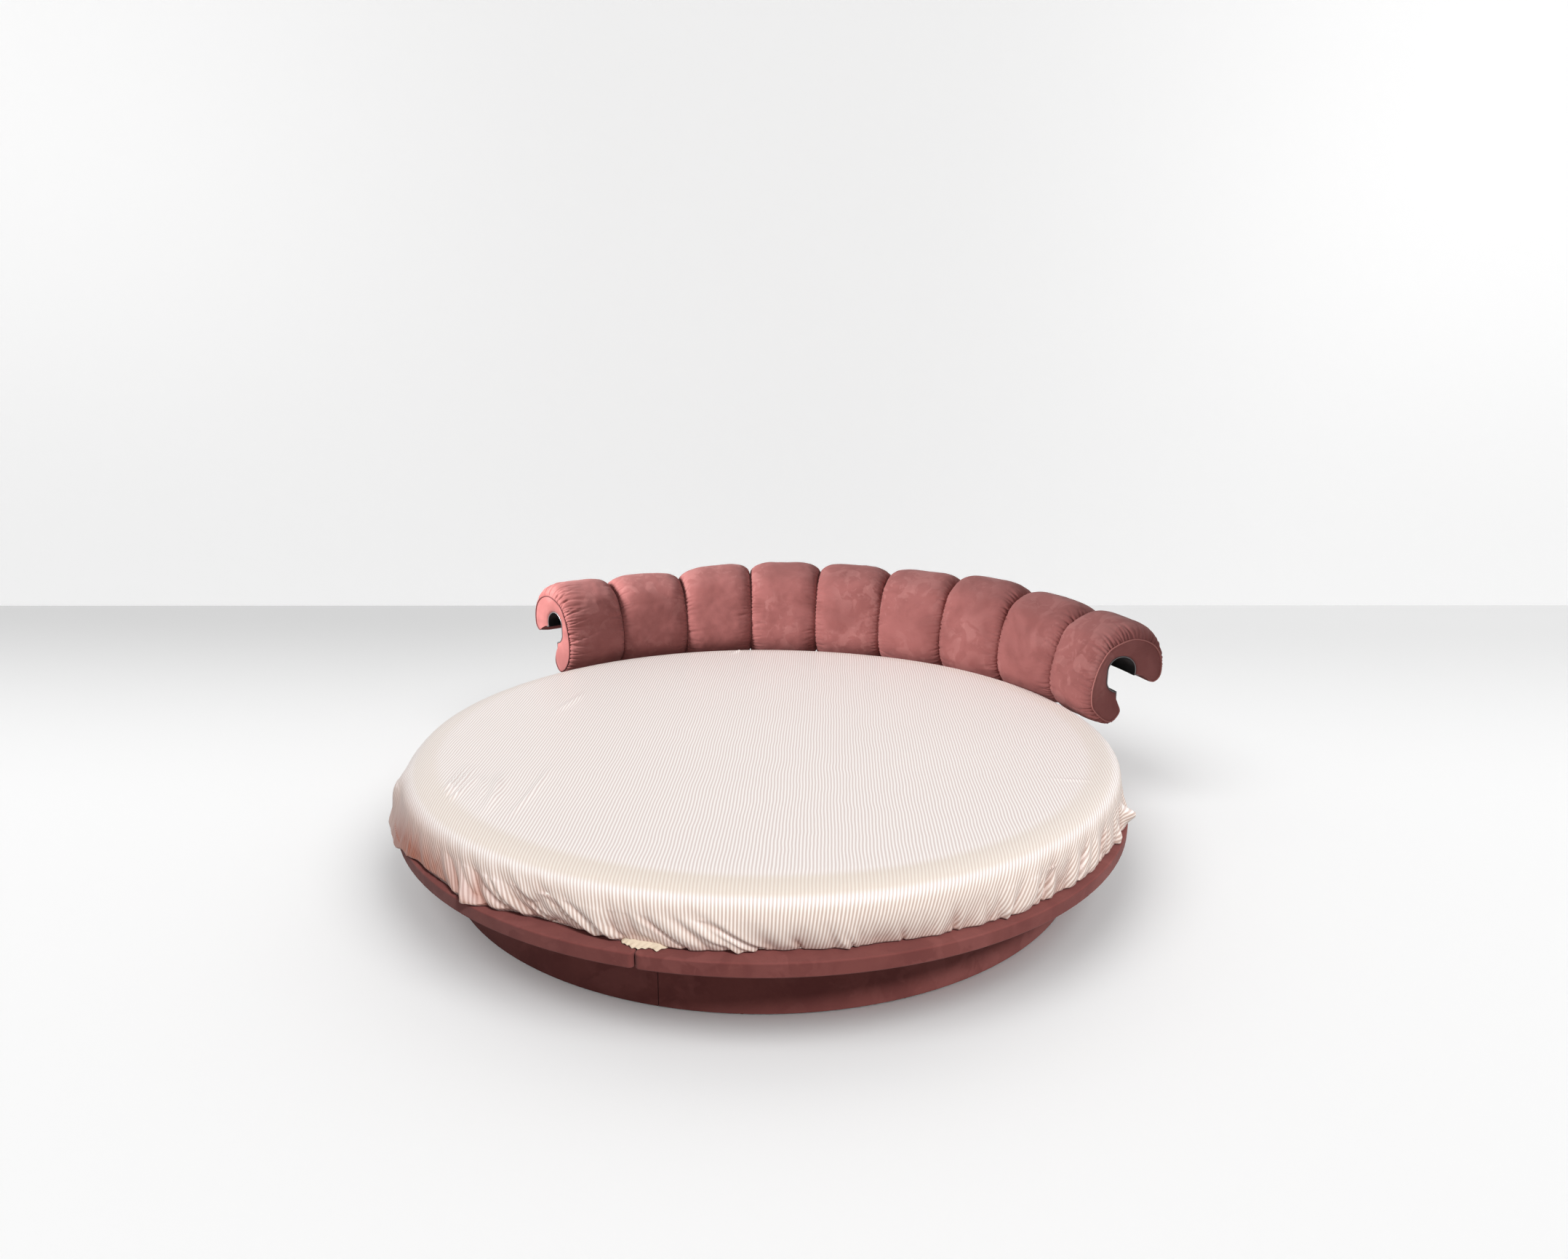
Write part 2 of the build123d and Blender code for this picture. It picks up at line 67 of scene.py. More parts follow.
def makeCamera(view):
    data = bpy.data.cameras.new("photoCamera")
    data.lens = view["lens"]
    data.sensor_width = view["sensor"]
    data.sensor_fit = "HORIZONTAL"
    camera = addObject("photoCamera", data)
    turn = Euler((math.radians(90 - view["pitch"]), 0, math.radians(view["yaw"])))
    tilt = Matrix.Rotation(math.radians(view["roll"]), 4, "Z")
    camera.matrix_world = Matrix.Translation(view["place"]) @ turn.to_matrix().to_4x4() @ tilt
    bpy.context.scene.camera = camera


makeCamera(photoView)
bpy.context.scene.view_settings.view_transform = "Standard"


def newPiece(name, points, faces, material, body):
    mesh = bpy.data.meshes.new(name)
    mesh.from_pydata([tuple(p) for p in points], [], faces)
    mesh.validate()
    tidy = bmesh.new()
    tidy.from_mesh(mesh)
    bmesh.ops.recalc_face_normals(tidy, faces=tidy.faces)
    tidy.to_mesh(mesh)
    tidy.free()
    mesh.polygons.foreach_set("use_smooth", [True] * len(mesh.polygons))
    mesh.materials.append(material)
    piece = addObject(name, mesh)
    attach(piece, body)
    return piece


def smoothLine(points, count):
    # A Catmull-Rom curve through rows of numbers, read again at even steps of its first two columns
    pts = np.asarray(points, float)
    padded = np.vstack([2 * pts[0] - pts[1], pts, 2 * pts[-1] - pts[-2]])
    spanSteps = 24
    t = np.linspace(0, 1, spanSteps, endpoint=False)[:, None]
    runs = []
    for a, b, c, d in zip(padded, padded[1:], padded[2:], padded[3:]):
        runs.append(0.5 * (2 * b + (c - a) * t + (2 * a - 5 * b + 4 * c - d) * t**2
                           + (3 * b - a - 3 * c + d) * t**3))
    return evenLine(np.vstack(runs + [pts[-1:]]), count)


def evenLine(fine, count):
    steps = np.hypot(*np.diff(fine[:, :2], axis=0).T)
    length = np.concatenate([[0], np.cumsum(steps)])
    wanted = np.linspace(0, length[-1], count)
    return np.stack([np.interp(wanted, length, column) for column in fine.T], 1)


def lineLength(points):
    steps = np.linalg.norm(np.diff(points, axis=0), axis=1)
    return np.concatenate([[0], np.cumsum(steps)])


def stitch(first, second):
    # Faces between two rows of vertices that run side by side, where one may have fewer
    faces = []
    i = j = 0
    while i < len(first) - 1 or j < len(second) - 1:
        nextI = (i + 1) / max(1, len(first) - 1)
        nextJ = (j + 1) / max(1, len(second) - 1)
        bothStep = i < len(first) - 1 and j < len(second) - 1 and abs(nextI - nextJ) < 1e-6
        if bothStep:
            faces.append((first[i], first[i + 1], second[j + 1], second[j]))
            i += 1
            j += 1
        elif j == len(second) - 1 or (i < len(first) - 1 and nextI < nextJ):
            faces.append((first[i], first[i + 1], second[j]))
            i += 1
        else:
            faces.append((first[i], second[j + 1], second[j]))
            j += 1
    return [tuple(dict.fromkeys(face)) for face in faces if len(set(face)) > 2]


def tubePiece(name, path, radius, material, body):
    # A round bead along a line of points, closed at both ends
    sides = 6
    ahead = np.vstack([path[1:], 2 * path[-1:] - path[-2:-1]])
    behind = np.vstack([2 * path[:1] - path[1:2], path[:-1]])
    along = ahead - behind
    along /= np.linalg.norm(along, axis=1)[:, None]
    side = np.cross(along, np.array([0.0, 0.0, 1.0]) + 1e-3)
    for i in range(1, len(side)):
        side[i] = side[i - 1] - np.dot(side[i - 1], along[i]) * along[i]
        side[i] /= np.linalg.norm(side[i])
    side[0] = side[0] - np.dot(side[0], along[0]) * along[0]
    side[0] /= np.linalg.norm(side[0])
    other = np.cross(along, side)
    rings = []
    for k in range(sides):
        angle = 2 * math.pi * k / sides
        rings.append(path + radius * (math.cos(angle) * side + math.sin(angle) * other))
    points = np.stack(rings, 1).reshape(-1, 3)
    faces = []
    for i in range(len(path) - 1):
        for k in range(sides):
            a, b = i * sides, (i + 1) * sides
            faces.append((a + k, a + (k + 1) % sides, b + (k + 1) % sides, b + k))
    faces += [tuple(range(sides))[::-1], tuple(range(len(points) - sides, len(points)))]
    return newPiece(name, points, faces, material, body)


def ringFaces(rows):
    # Faces between closed rings of vertices
    faces = []
    for inner, outer in zip(rows, rows[1:]):
        faces += stitch(inner + inner[:1], outer + outer[:1])
    return faces


def gridFaces(start, rows, columns, turned=False):
    faces = []
    for i in range(rows - 1):
        for j in range(columns - 1):
            a = start + i * columns + j
            face = (a, a + 1, a + columns + 1, a + columns)
            faces.append(face[:1] + face[:0:-1] if turned else face)
    return faces


def gridNormals(grid):
    # Normals of a grid of points, rows by columns
    alongRows = np.gradient(grid, axis=0)
    alongColumns = np.gradient(grid, axis=1)
    normals = np.cross(alongRows, alongColumns)
    return normals / np.maximum(np.linalg.norm(normals, axis=2, keepdims=True), 1e-9)


def softNoise(grid, scale, seed):
    shift = Vector((seed * 3.1, seed * 1.7, seed * 0.9))
    flat = grid.reshape(-1, 3)
    values = [noise.noise(Vector(p) * scale + shift) for p in flat]
    return np.array(values).reshape(grid.shape[:2])


def ringNoise(angles, scale, levels):
    spots = [Vector((math.cos(a) * scale, math.sin(a) * scale, level)) for a, level in zip(angles, levels)]
    return np.array([noise.noise(spot) for spot in spots])


def easeIn(values):
    # 0 to 1 with both ends smooth
    values = np.clip(values, 0, 1)
    return values * values * (3 - 2 * values)


def aside(angles, centre):
    # Degrees from this direction, -180 to 180
    return (np.degrees(angles) - centre + 180) % 360 - 180


def thicken(piece, thickness, offset):
    solid = piece.modifiers.new("clothThickness", "SOLIDIFY")
    solid.thickness = thickness
    solid.offset = offset


def setInputs(node, values):
    for key, value in values.items():
        node.inputs[key].default_value = value


def newMaterial(name):
    material = bpy.data.materials.new(name)
    material.use_nodes = True
    tree = material.node_tree
    return material, tree, tree.nodes["Principled BSDF"]


def place(tree, scale=(1, 1, 1)):
    spot = tree.nodes.new("ShaderNodeTexCoord")
    mapping = tree.nodes.new("ShaderNodeMapping")
    setInputs(mapping, {"Scale": scale})
    tree.links.new(spot.outputs["Object"], mapping.inputs["Vector"])
    return mapping.outputs["Vector"]


def splitVector(tree, vector):
    node = tree.nodes.new("ShaderNodeSeparateXYZ")
    tree.links.new(vector, node.inputs[0])
    return node.outputs


def faceUp(tree):
    # How far the surface faces up, from -1 to 1
    return splitVector(tree, tree.nodes.new("ShaderNodeNewGeometry").outputs["Normal"])["Z"]


def addValue(tree, name):
    node = tree.nodes.new("ShaderNodeAttribute")
    node.attribute_name = name
    return node.outputs["Fac"]


def addNoise(tree, vector, scale, detail=4.0, roughness=0.5, distortion=0.0):
    node = tree.nodes.new("ShaderNodeTexNoise")
    setInputs(node, {"Scale": scale, "Detail": detail, "Roughness": roughness, "Distortion": distortion})
    tree.links.new(vector, node.inputs["Vector"])
    return node.outputs["Fac"]


def addRange(tree, value, fromMin, fromMax, toMin=0.0, toMax=1.0):
    node = tree.nodes.new("ShaderNodeMapRange")
    node.interpolation_type = "SMOOTHSTEP"
    setInputs(node, {"From Min": fromMin, "From Max": fromMax, "To Min": toMin, "To Max": toMax})
    tree.links.new(value, node.inputs["Value"])
    return node.outputs["Result"]


def addMix(tree, factor, first, second, blend="MIX"):
    node = tree.nodes.new("ShaderNodeMix")
    node.data_type = "RGBA"
    node.blend_type = blend
    for socket, value in ((node.inputs[0], factor), (node.inputs[6], first), (node.inputs[7], second)):
        if isinstance(value, (int, float)):
            socket.default_value = value
        elif isinstance(value, tuple):
            socket.default_value = (*value[:3], 1)
        else:
            tree.links.new(value, socket)
    return node.outputs[2]


def addMath(tree, operation, first, second=0.0):
    node = tree.nodes.new("ShaderNodeMath")
    node.operation = operation
    for socket, value in zip(node.inputs, (first, second)):
        if isinstance(value, (int, float)):
            socket.default_value = value
        else:
            tree.links.new(value, socket)
    return node.outputs[0]


def addBump(tree, height, look, under=None):
    # look is the bump's strength and its distance
    node = tree.nodes.new("ShaderNodeBump")
    setInputs(node, {"Strength": look[0], "Distance": look[1]})
    tree.links.new(height, node.inputs["Height"])
    if under is not None:
        tree.links.new(under, node.inputs["Normal"])
    return node.outputs["Normal"]


def fromScreen(red, green, blue):
    # A colour read off a screen, 0 to 255, as the shader's own linear values
    def straight(value):
        value /= 255
        return value / 12.92 if value <= 0.04045 else ((value + 0.055) / 1.055) ** 2.4
    return straight(red), straight(green), straight(blue)


# The noises are written as scale, detail, roughness and distortion
padSuede = {
    "tone": (162, 101, 98),
    "brushedAndTopLit": (186, 127, 123),
    "deep": (148, 90, 87),
    "patches": (7.0, 5, 0.55, 0.6),
    "strokes": (13.0, 3, 0.45, 0.7),
    "swipes": (29.9, 4, 0.5, 0.9),
    "sheen": 0.12,
}
baseSuede = {
    "tone": (122, 68, 64),
    "brushedAndTopLit": (136, 79, 75),
    "deep": (112, 60, 57),
    "patches": (9.0, 5, 0.55, 0.6),
    "strokes": (11.0, 3, 0.45, 0.7),
    "swipes": (25.3, 4, 0.5, 0.9),
    "sheen": 0.15,
}
# What both suedes share: where their marks and the painted light on upward faces start and end, and how much of them
# shows
suede = {
    "patchRange": (0.35, 0.62),
    "strokeRange": (0.52, 0.58),
    "strokeShare": 0.38,
    "swipeRange": (0.56, 0.63),
    "swipeShare": 0.3,
    "some": (3.6, 2, 0.5),
    "someRange": (0.42, 0.6),
    "topLightRange": (0.25, 1.0, 0.0, 0.15),
    "nap": (900.0, 3, 0.6),
    "napShare": 0.12,
    "creases": (55, 5, 0.6, 0.8),
    "creaseBump": (0.25, 0.0016),
    "napBump": (0.5, 0.0004),
    "roughness": (0.4, 0.7, 0.95, 0.8),
    "surface": {"Specular IOR Level": 0.18, "Sheen Roughness": 0.45, "Sheen Tint": (1.0, 0.82, 0.8, 1)},
}


def makeSuede(name, look):
    material, tree, shader = newMaterial(name)
    vector = place(tree)
    tone, brushedAndTopLit, deep = (fromScreen(*look[key]) for key in ("tone", "brushedAndTopLit", "deep"))
    patches, strokes, swipes = (addNoise(tree, vector, *look[key]) for key in ("patches", "strokes", "swipes"))
    some = addRange(tree, addNoise(tree, vector, *suede["some"]), *suede["someRange"])
    colour = addMix(tree, addRange(tree, patches, *suede["patchRange"]), deep, tone)
    for marks, key in ((strokes, "stroke"), (swipes, "swipe")):
        shown = addMath(tree, "MULTIPLY", addRange(tree, marks, *suede[key + "Range"]), some)
        colour = addMix(tree, addMath(tree, "MULTIPLY", shown, suede[key + "Share"]), colour, brushedAndTopLit)
    # Upward-facing surfaces are mixed towards the lighter brushed tone, a painted light on the tops
    colour = addMix(tree, addRange(tree, faceUp(tree), *suede["topLightRange"]), colour, brushedAndTopLit)
    nap = addNoise(tree, vector, *suede["nap"])
    colour = addMix(tree, suede["napShare"], colour, nap, "OVERLAY")
    tree.links.new(colour, shader.inputs["Base Color"])
    tree.links.new(addRange(tree, strokes, *suede["roughness"]), shader.inputs["Roughness"])
    setInputs(shader, {**suede["surface"], "Sheen Weight": look["sheen"]})
    normal = addBump(tree, addNoise(tree, vector, *suede["creases"]), suede["creaseBump"])
    tree.links.new(addBump(tree, nap, suede["napBump"], normal), shader.inputs["Normal"])
    return material


satin = {
    "light": (248, 242, 238),
    "dark": (218, 203, 198),
    # The stripes' tones on the steep sides, darker and warmer than on the top: painted shade by facing
    "shadedSideLight": (246, 236, 228),
    "shadedSideDark": (202, 180, 168),
    "sideRange": (0.85, 0.3),
    # slope is the tone of the painted shade band round the top's edge
    "slope": (214, 198, 178),
    "slopeShare": 0.5,
    "shadeTone": (178, 110, 86),
    "period": 0.00884,
    "angle": 17.25,
    "lean": -0.035,
    "fan": -0.078,
    "wobble": (6, 2),
    "wobbleSize": 0.012,
    "stripeRange": (-0.7, 0.7),
    "roughness": (0.5, 0.34),
    "surface": {"Specular IOR Level": 0.4, "Sheen Weight": 0.2, "Sheen Roughness": 0.4},
    "ripples": (38, 4, 0.5, 0.5),
    "thread": (1400, 2, 0.5),
    "stripeBump": (0.3, 0.00025),
    "rippleBump": (0.25, 0.0012),
    "threadBump": (0.25, 0.0001),
}


def makeSatin(name, look):
    material, tree, shader = newMaterial(name)
    coords = tree.nodes.new("ShaderNodeUVMap")
    coords.uv_map = "cloth"
    vector = place(tree)
    wobble = addMath(tree, "MULTIPLY", addNoise(tree, vector, *look["wobble"]), look["wobbleSize"])
    across = addMath(tree, "ADD", splitVector(tree, coords.outputs["UV"])["X"], wobble)
    wave = addMath(tree, "SINE", addMath(tree, "MULTIPLY", across, 2 * math.pi / look["period"]))
    stripe = addRange(tree, wave, *look["stripeRange"])
    # Steep faces take the darker side tones, a painted shade
    side = addRange(tree, faceUp(tree), *look["sideRange"])
    dark, light = (addMix(tree, side, fromScreen(*look[flat]), fromScreen(*look[steep]))
                   for flat, steep in (("dark", "shadedSideDark"), ("light", "shadedSideLight")))
    colour = addMix(tree, stripe, dark, light)
    # The painted shade band round the top's edge
    band = addMath(tree, "MULTIPLY", addValue(tree, "edgeBand"), look["slopeShare"])
    colour = addMix(tree, band, colour, fromScreen(*look["slope"]))
    shaded = addMix(tree, 1.0, colour, fromScreen(*look["shadeTone"]), "MULTIPLY")
    colour = addMix(tree, addValue(tree, "shade"), colour, shaded)
    tree.links.new(colour, shader.inputs["Base Color"])
    gloss = addRange(tree, wave, *look["stripeRange"], *look["roughness"])
    tree.links.new(gloss, shader.inputs["Roughness"])
    setInputs(shader, look["surface"])
    normal = addBump(tree, stripe, look["stripeBump"])
    normal = addBump(tree, addNoise(tree, vector, *look["ripples"]), look["rippleBump"], normal)
    normal = addBump(tree, addNoise(tree, vector, *look["thread"]), look["threadBump"], normal)
    tree.links.new(normal, shader.inputs["Normal"])
    return material


plainWood = {
    "light": (214, 182, 138),
    "dark": (176, 140, 96),
    "poreTone": (140, 104, 66),
    "stretch": (3, 40, 40),
    "grain": (1.6, 6, 0.6, 0.7),
    "grainRange": (0.35, 0.65),
    "pores": (14, 3, 0.6),
    "poreRange": (0.55, 0.75, 0, 0.4),
    "poreBump": (0.3, 0.0003),
    "roughness": 0.7,
}


def makeWood(name, look):
    material, tree, shader = newMaterial(name)
    vector = place(tree, look["stretch"])
    grain, pores = addNoise(tree, vector, *look["grain"]), addNoise(tree, vector, *look["pores"])
    lines = addRange(tree, grain, *look["grainRange"])
    colour = addMix(tree, lines, fromScreen(*look["dark"]), fromScreen(*look["light"]))
    colour = addMix(tree, addRange(tree, pores, *look["poreRange"]), colour, fromScreen(*look["poreTone"]))
    tree.links.new(colour, shader.inputs["Base Color"])
    setInputs(shader, {"Roughness": look["roughness"]})
    tree.links.new(addBump(tree, pores, look["poreBump"]), shader.inputs["Normal"])
    return material


solidGrain = {
    "fine": (600.0, 3, 0.6),
    "fineDepth": 0.0003,
    "broad": (9, 4, 0.55),
    "broadRange": (0.3, 0.7),
    "brighter": 1.6,
    "leastLight": 0.004,
    "polish": 0.06,
}


def makeSolid(name, colour, roughness, metallic=0.0, grain=0.15, speckle=0.1):
    # Moulded, painted or plated surface with a fine grain and a little colour variation
    material, tree, shader = newMaterial(name)
    vector = place(tree)
    look, tone = solidGrain, fromScreen(*colour)
    fine, broad = addNoise(tree, vector, *look["fine"]), addNoise(tree, vector, *look["broad"])
    tint = tuple(min(1.0, channel * look["brighter"] + look["leastLight"]) for channel in tone)
    factor = addMath(tree, "MULTIPLY", broad, speckle * 2)
    tree.links.new(addMix(tree, factor, tone, tint), shader.inputs["Base Color"])
    rough = addRange(tree, broad, *look["broadRange"], roughness - look["polish"], roughness + look["polish"])
    tree.links.new(rough, shader.inputs["Roughness"])
    setInputs(shader, {"Metallic": metallic})
    tree.links.new(addBump(tree, fine, (grain, look["fineDepth"])), shader.inputs["Normal"])
    return material


padCover = makeSuede("padSuede", padSuede)
baseCover = makeSuede("baseSuede", baseSuede)
satinStripe = makeSatin("satinStripe", satin)
# The piping's colour in a lit copy and a shaded copy: painted light on the right-hand beads, painted shade on the
# left-hand ones
pipingLight = makeSolid("pipingLight", (182, 118, 113), 0.85, grain=0.4)
pipingDark = makeSolid("pipingDark", (104, 54, 54), 0.85, grain=0.4)
tickingCloth = makeSolid("tickingCloth", (232, 226, 214), 0.9, grain=0.5, speckle=0.25)
plainHem = makeSolid("plainHem", (206, 190, 168), 0.85, grain=0.5, speckle=0.2)
elasticBand = makeSolid("elasticBand", (238, 232, 220), 0.75, grain=0.6, speckle=0.2)
feltCloth = makeSolid("feltCloth", (38, 36, 36), 0.98, grain=0.9, speckle=0.4)
blackShell = makeSolid("blackShell", (26, 24, 25), 0.42, grain=0.3)
blackSteel = makeSolid("blackSteel", (24, 24, 25), 0.38, grain=0.2)
platedSteel = makeSolid("platedSteel", (176, 176, 178), 0.3, 1.0, grain=0.1)
lipTrim = makeSolid("lipTrim", (150, 146, 148), 0.35, 0.8, grain=0.1)
plainBoard = makeWood("plainBoard", plainWood)

slotMaterials = {
    "base_cover": baseCover,
    "board": plainBoard,
    "felt": feltCloth,
    "elastic": elasticBand,
    "black_shell": blackShell,
    "black_steel": blackSteel,
    "fastener_steel": platedSteel,
}
for part in frame["record"]["subparts"]:
    finish = slotMaterials.get(part["material_slot"])
    if finish:
        nodes[part["node"]].data.materials.clear()
        nodes[part["node"]].data.materials.append(finish)
print("materials ready")


# The headboard's pads. Values per seam have ten places and values per pad nine, from the left; of the domes and the
# piping's radii the first is for the seams between pads and the second for the two open ends
headboard = {
    "count": 9,
    "pitch": 14.6,
    "endTrim": 1.6,
    "seamGap": 0.003,
    "hookRadius": 1.2363,
    "front": 1.1340,
    "back": 1.3803,
    "bottom": 0.3020,
    "top": 0.6150,
    "crown": 0.053,
    "archRise": 0.038,
    "topRoundness": 4.0,
    "frontRoundness": 2.7,
    "rows": 321,
    "columns": 55,
    "panelRows": 6,
    "innerColumns": 7,
    "rise": (-0.1, -0.1, 0.1, 0.9, 1.05, 0.9, 0.85, 0.6, 0, -0.2),
    "fullness": (1, 1, 1.1, 1.05, 1, 1, 1.15, 1, 1),
    "lowLift": (0, 0, 0, 0, 0, 0, 0, 0, 0.004, 0.015),
    "cornerLift": 0.009,
    "cornerPower": 7,
    "lowStart": 0.386,
    "lowRun": 0.07,
    "innerSteps": 400,
    "softness": 0.85,
    "domes": (0.0004, 0.0050),
    "domeNoise": (0.4, 26, 9),
    "piping": (0.0013, 0.0026),
    "lip": {"inset": 0.06, "radius": 0.0019, "steps": 90},
}
# Outline of a pad's section from the lip round the front and the top to the tail: shares of its depth and
# height, then how far the crown pushes it outward and upward, and its share of the arch's rise
outlineShares = (
    (0.43, 0.154, 0.15, -0.05, 0.15),
    (0.39, 0.05, 0.2, -0.25, 0.15),
    (0.293, 0, 0, -0.4, 0.15),
    (0.138, 0.068, -0.4, -0.3, 0.2),
    (0.024, 0.222, -0.6, -0.1, 0.4),
    (0, 0.41, -0.58, 0, 0.65),
    (0.041, 0.597, -0.55, 0.05, 0.85),
    (0.114, 0.754, -0.6, 0.3, 1),
    (0.252, 0.904, -0.5, 0.7, 1),
    (0.553, 1, 0, 1, 1),
    (0.821, 0.952, 0.45, 0.8, 1),
    (0.976, 0.809, 0.5, 0.35, 1),
    (1, 0.597, 0.4, 0, 0.8),
    (0.894, 0.502, 0.1, -0.15, 0.3),
)
# Share of the inner line that faces each point of the outline
panelShare = (0, 0.02, 0.05, 0.08, 0.14, 0.2, 0.27, 0.36, 0.44, 0.53, 0.65, 0.74, 0.8, 0.88, 0.94, 1)
hook = {
    "hollow": 0.049,
    "lip": 0.038,
    "centreHeight": 0.497,
    "lipHeight": 0.462,
    "lipEdge": 1.2253,
    "lipBottom": 0.397,
    "tailLevel": 0.480,
    "tailEnd": 1.3193,
    "wall": 0.004,
    "padFit": 0.0003,
    "edgeStep": 0.002,
    "edgeRise": 0.1,
    "lipSteps": 24,
    "hollowSteps": 60,
}


def padOutline():
    shape = headboard
    depth, height = shape["back"] - shape["front"], shape["top"] - shape["bottom"]
    points = [(hook["lipEdge"] - hook["edgeStep"], hook["lipBottom"], 0, 0, hook["edgeRise"])]
    for across, up, out, lift, rise in outlineShares:
        points.append((shape["front"] + across * depth, shape["bottom"] + up * height, out, lift, rise))
    points.append((hook["tailEnd"] + hook["padFit"], hook["tailLevel"] + hook["edgeStep"], 0, 0, 0))
    return np.array(points)


def segmentTurns(number):
    # Middle and half width of a segment; the two end ones are a little narrower
    first, last = ((number - 1 + k - headboard["count"] / 2) * headboard["pitch"] for k in (0, 1))
    if number == 1:
        first += headboard["endTrim"]
    if number == headboard["count"]:
        last -= headboard["endTrim"]
    return (first + last) / 2, (last - first) / 2


def arcPoints(centre, radius, start, end, count):
    angles = np.radians(np.linspace(start, end, count))
    return [(centre[0] + radius * math.cos(a), centre[1] + radius * math.sin(a)) for a in angles]


def hookLine(growth, count):
    # The hook from the lip to the tail, at this distance outside the hollow
    shape = hook
    inner, lower = shape["hollow"] + growth, shape["lip"] + growth
    centre = (headboard["hookRadius"], shape["centreHeight"])
    lipStart = shape["lipEdge"] - growth
    drop = math.degrees(math.asin((shape["centreHeight"] - shape["tailLevel"] - growth) / inner))
    line = [(lipStart, shape["lipBottom"])]
    lipTurn = math.degrees(math.acos(-growth / lower))
    line += arcPoints((shape["lipEdge"], shape["lipHeight"]), lower, 360 - lipTurn, 180, shape["lipSteps"])
    line += arcPoints(centre, inner, 180, -drop, shape["hollowSteps"])
    line += [(shape["tailEnd"], shape["tailLevel"] + growth)]
    return evenLine(np.array(line), count)


def aroundBed(section, turns):
    # Points (radius, height) of a section set at turns about the bed's centre line
    radius, height = section[..., 0], section[..., 1]
    angle = np.radians(turns)
    return np.stack([radius * np.sin(angle), radius * np.cos(angle), np.broadcast_to(height, radius.shape)], -1)


# Spacing, depth, reach and width of the pleats at a seam and at the headboard's two ends, and the ranges that
# each pleat's own length, depth, width, lean and distance to the next are drawn from
puckerLook = {
    "seam": (0.0125, 0.0040, 0.034, 0.0046),
    "end": (0.0120, 0.0054, 0.056, 0.0040),
    "long": (0.45, 1.6),
    "deep": (0.35, 1.3),
    "wide": (0.7, 1.4),
    "lean": (-0.35, 0.35),
    "step": (0.55, 1.6),
    "spread": 2.2,
    "shoulder": 1.1,
    "fade": 1.7,
    "swell": 0.0035,
    "swellScale": 9.0,
    "ripple": 0.0012,
    "rippleScale": 34.0,
    "seamRun": 0.004,
    "edgeRun": 0.05,
    "edgeLeast": 0.3,
}


def puckers(along, away, rand, spacing, depth, reach, width):
    # Gathered pleats that start at a seam: along is the way along it, away the distance from it
    look = puckerLook
    field = np.zeros_like(along)
    spot = rand.uniform(0, spacing)
    end = along.max()
    while spot < end:
        long = reach * rand.uniform(*look["long"])
        deep = depth * rand.uniform(*look["deep"])
        wide = width * rand.uniform(*look["wide"])
        lean = rand.uniform(*look["lean"])
        offset = (along - spot - lean * away) / (wide * (1 + away / (look["spread"] * reach)))
        field -= deep * (1 - look["shoulder"] * offset**2) * np.exp(-offset**2 - (away / long) ** look["fade"])
        spot += spacing * rand.uniform(*look["step"])
    return field


def crownLine(across, roundness):
    return np.sqrt(np.clip(1 - np.abs(across) ** roundness, 0, 1))


def blend(values, number, across):
    # A value at a segment's left seam turning into the one at its right seam
    left, right = values[number - 1], values[number]
    return left + (right - left) * (1 + across) / 2


def padGrid(number, rand):
    shape, look = headboard, puckerLook
    turn, halfWidth = segmentTurns(number)
    halfTurn = halfWidth - math.degrees(shape["seamGap"] / 2 / shape["hookRadius"])
    outline = smoothLine(padOutline(), shape["rows"])
    across = np.sin(np.linspace(-math.pi / 2, math.pi / 2, shape["columns"]))
    fullness = shape["crown"] * shape["fullness"][number - 1]
    crownUp, crownOut = (fullness * crownLine(across, shape[key]) for key in ("topRoundness", "frontRoundness"))
    rise = shape["archRise"] * blend(shape["rise"], number, across)
    seam = np.where(across < 0, number > 1, number < shape["count"])
    corner = shape["cornerLift"] * seam * np.abs(across) ** shape["cornerPower"]
    lower = easeIn((shape["lowStart"] - outline[:, None, 1]) / shape["lowRun"])
    lower = lower * (blend(shape["lowLift"], number, across) + corner)
    section = np.stack([
        outline[:, None, 0] + crownOut * outline[:, None, 2],
        outline[:, None, 1] + crownUp * outline[:, None, 3] + rise * outline[:, None, 4] + lower,
    ], -1)
    grid = aroundBed(section, np.broadcast_to(turn + across * halfTurn, section.shape[:2]))
    normals = gridNormals(grid)
    middle = shape["columns"] // 2
    normals *= np.sign(normals[shape["rows"] // 2, middle, 2])
    along = np.broadcast_to(lineLength(grid[:, middle])[:, None], grid.shape[:2])
    sideSteps = np.linalg.norm(np.diff(grid, axis=1), axis=2)
    fromLeft = np.concatenate([np.zeros((shape["rows"], 1)), np.cumsum(sideSteps, axis=1)], 1)
    fromRight = fromLeft[:, -1:] - fromLeft
    lift = np.zeros(grid.shape[:2])
    for away, isEnd in ((fromLeft, number == 1), (fromRight, number == shape["count"])):
        lift += puckers(along, away, rand, *look["end" if isEnd else "seam"])
    nearSeam = np.minimum(fromLeft, fromRight)
    endEase = np.clip(np.minimum(along, along[-1:] - along) / look["edgeRun"], 0, 1)
    lift *= np.clip(nearSeam / look["seamRun"], 0, 1) * (look["edgeLeast"] + (1 - look["edgeLeast"]) * endEase)
    swell = softNoise(grid, look["swellScale"], number) * look["swell"]
    ripple = softNoise(grid, look["rippleScale"], number + 20) * look["ripple"]
    lift += (swell + ripple) * np.clip(nearSeam / look["edgeRun"], 0, 1) * endEase
    return grid + normals * lift[..., None], turn, halfTurn


def innerLine(rows):
    # The pad's inner face against the shell, with as many points as the outline
    steps = headboard["innerSteps"]
    fine = hookLine(hook["wall"] + hook["padFit"], steps)
    ownLength = lineLength(padOutline()[:, :2])
    share = np.interp(np.linspace(0, 1, rows), ownLength / ownLength[-1], panelShare)
    return np.stack([np.interp(share, np.linspace(0, 1, steps), fine[:, k]) for k in (0, 1)], 1)


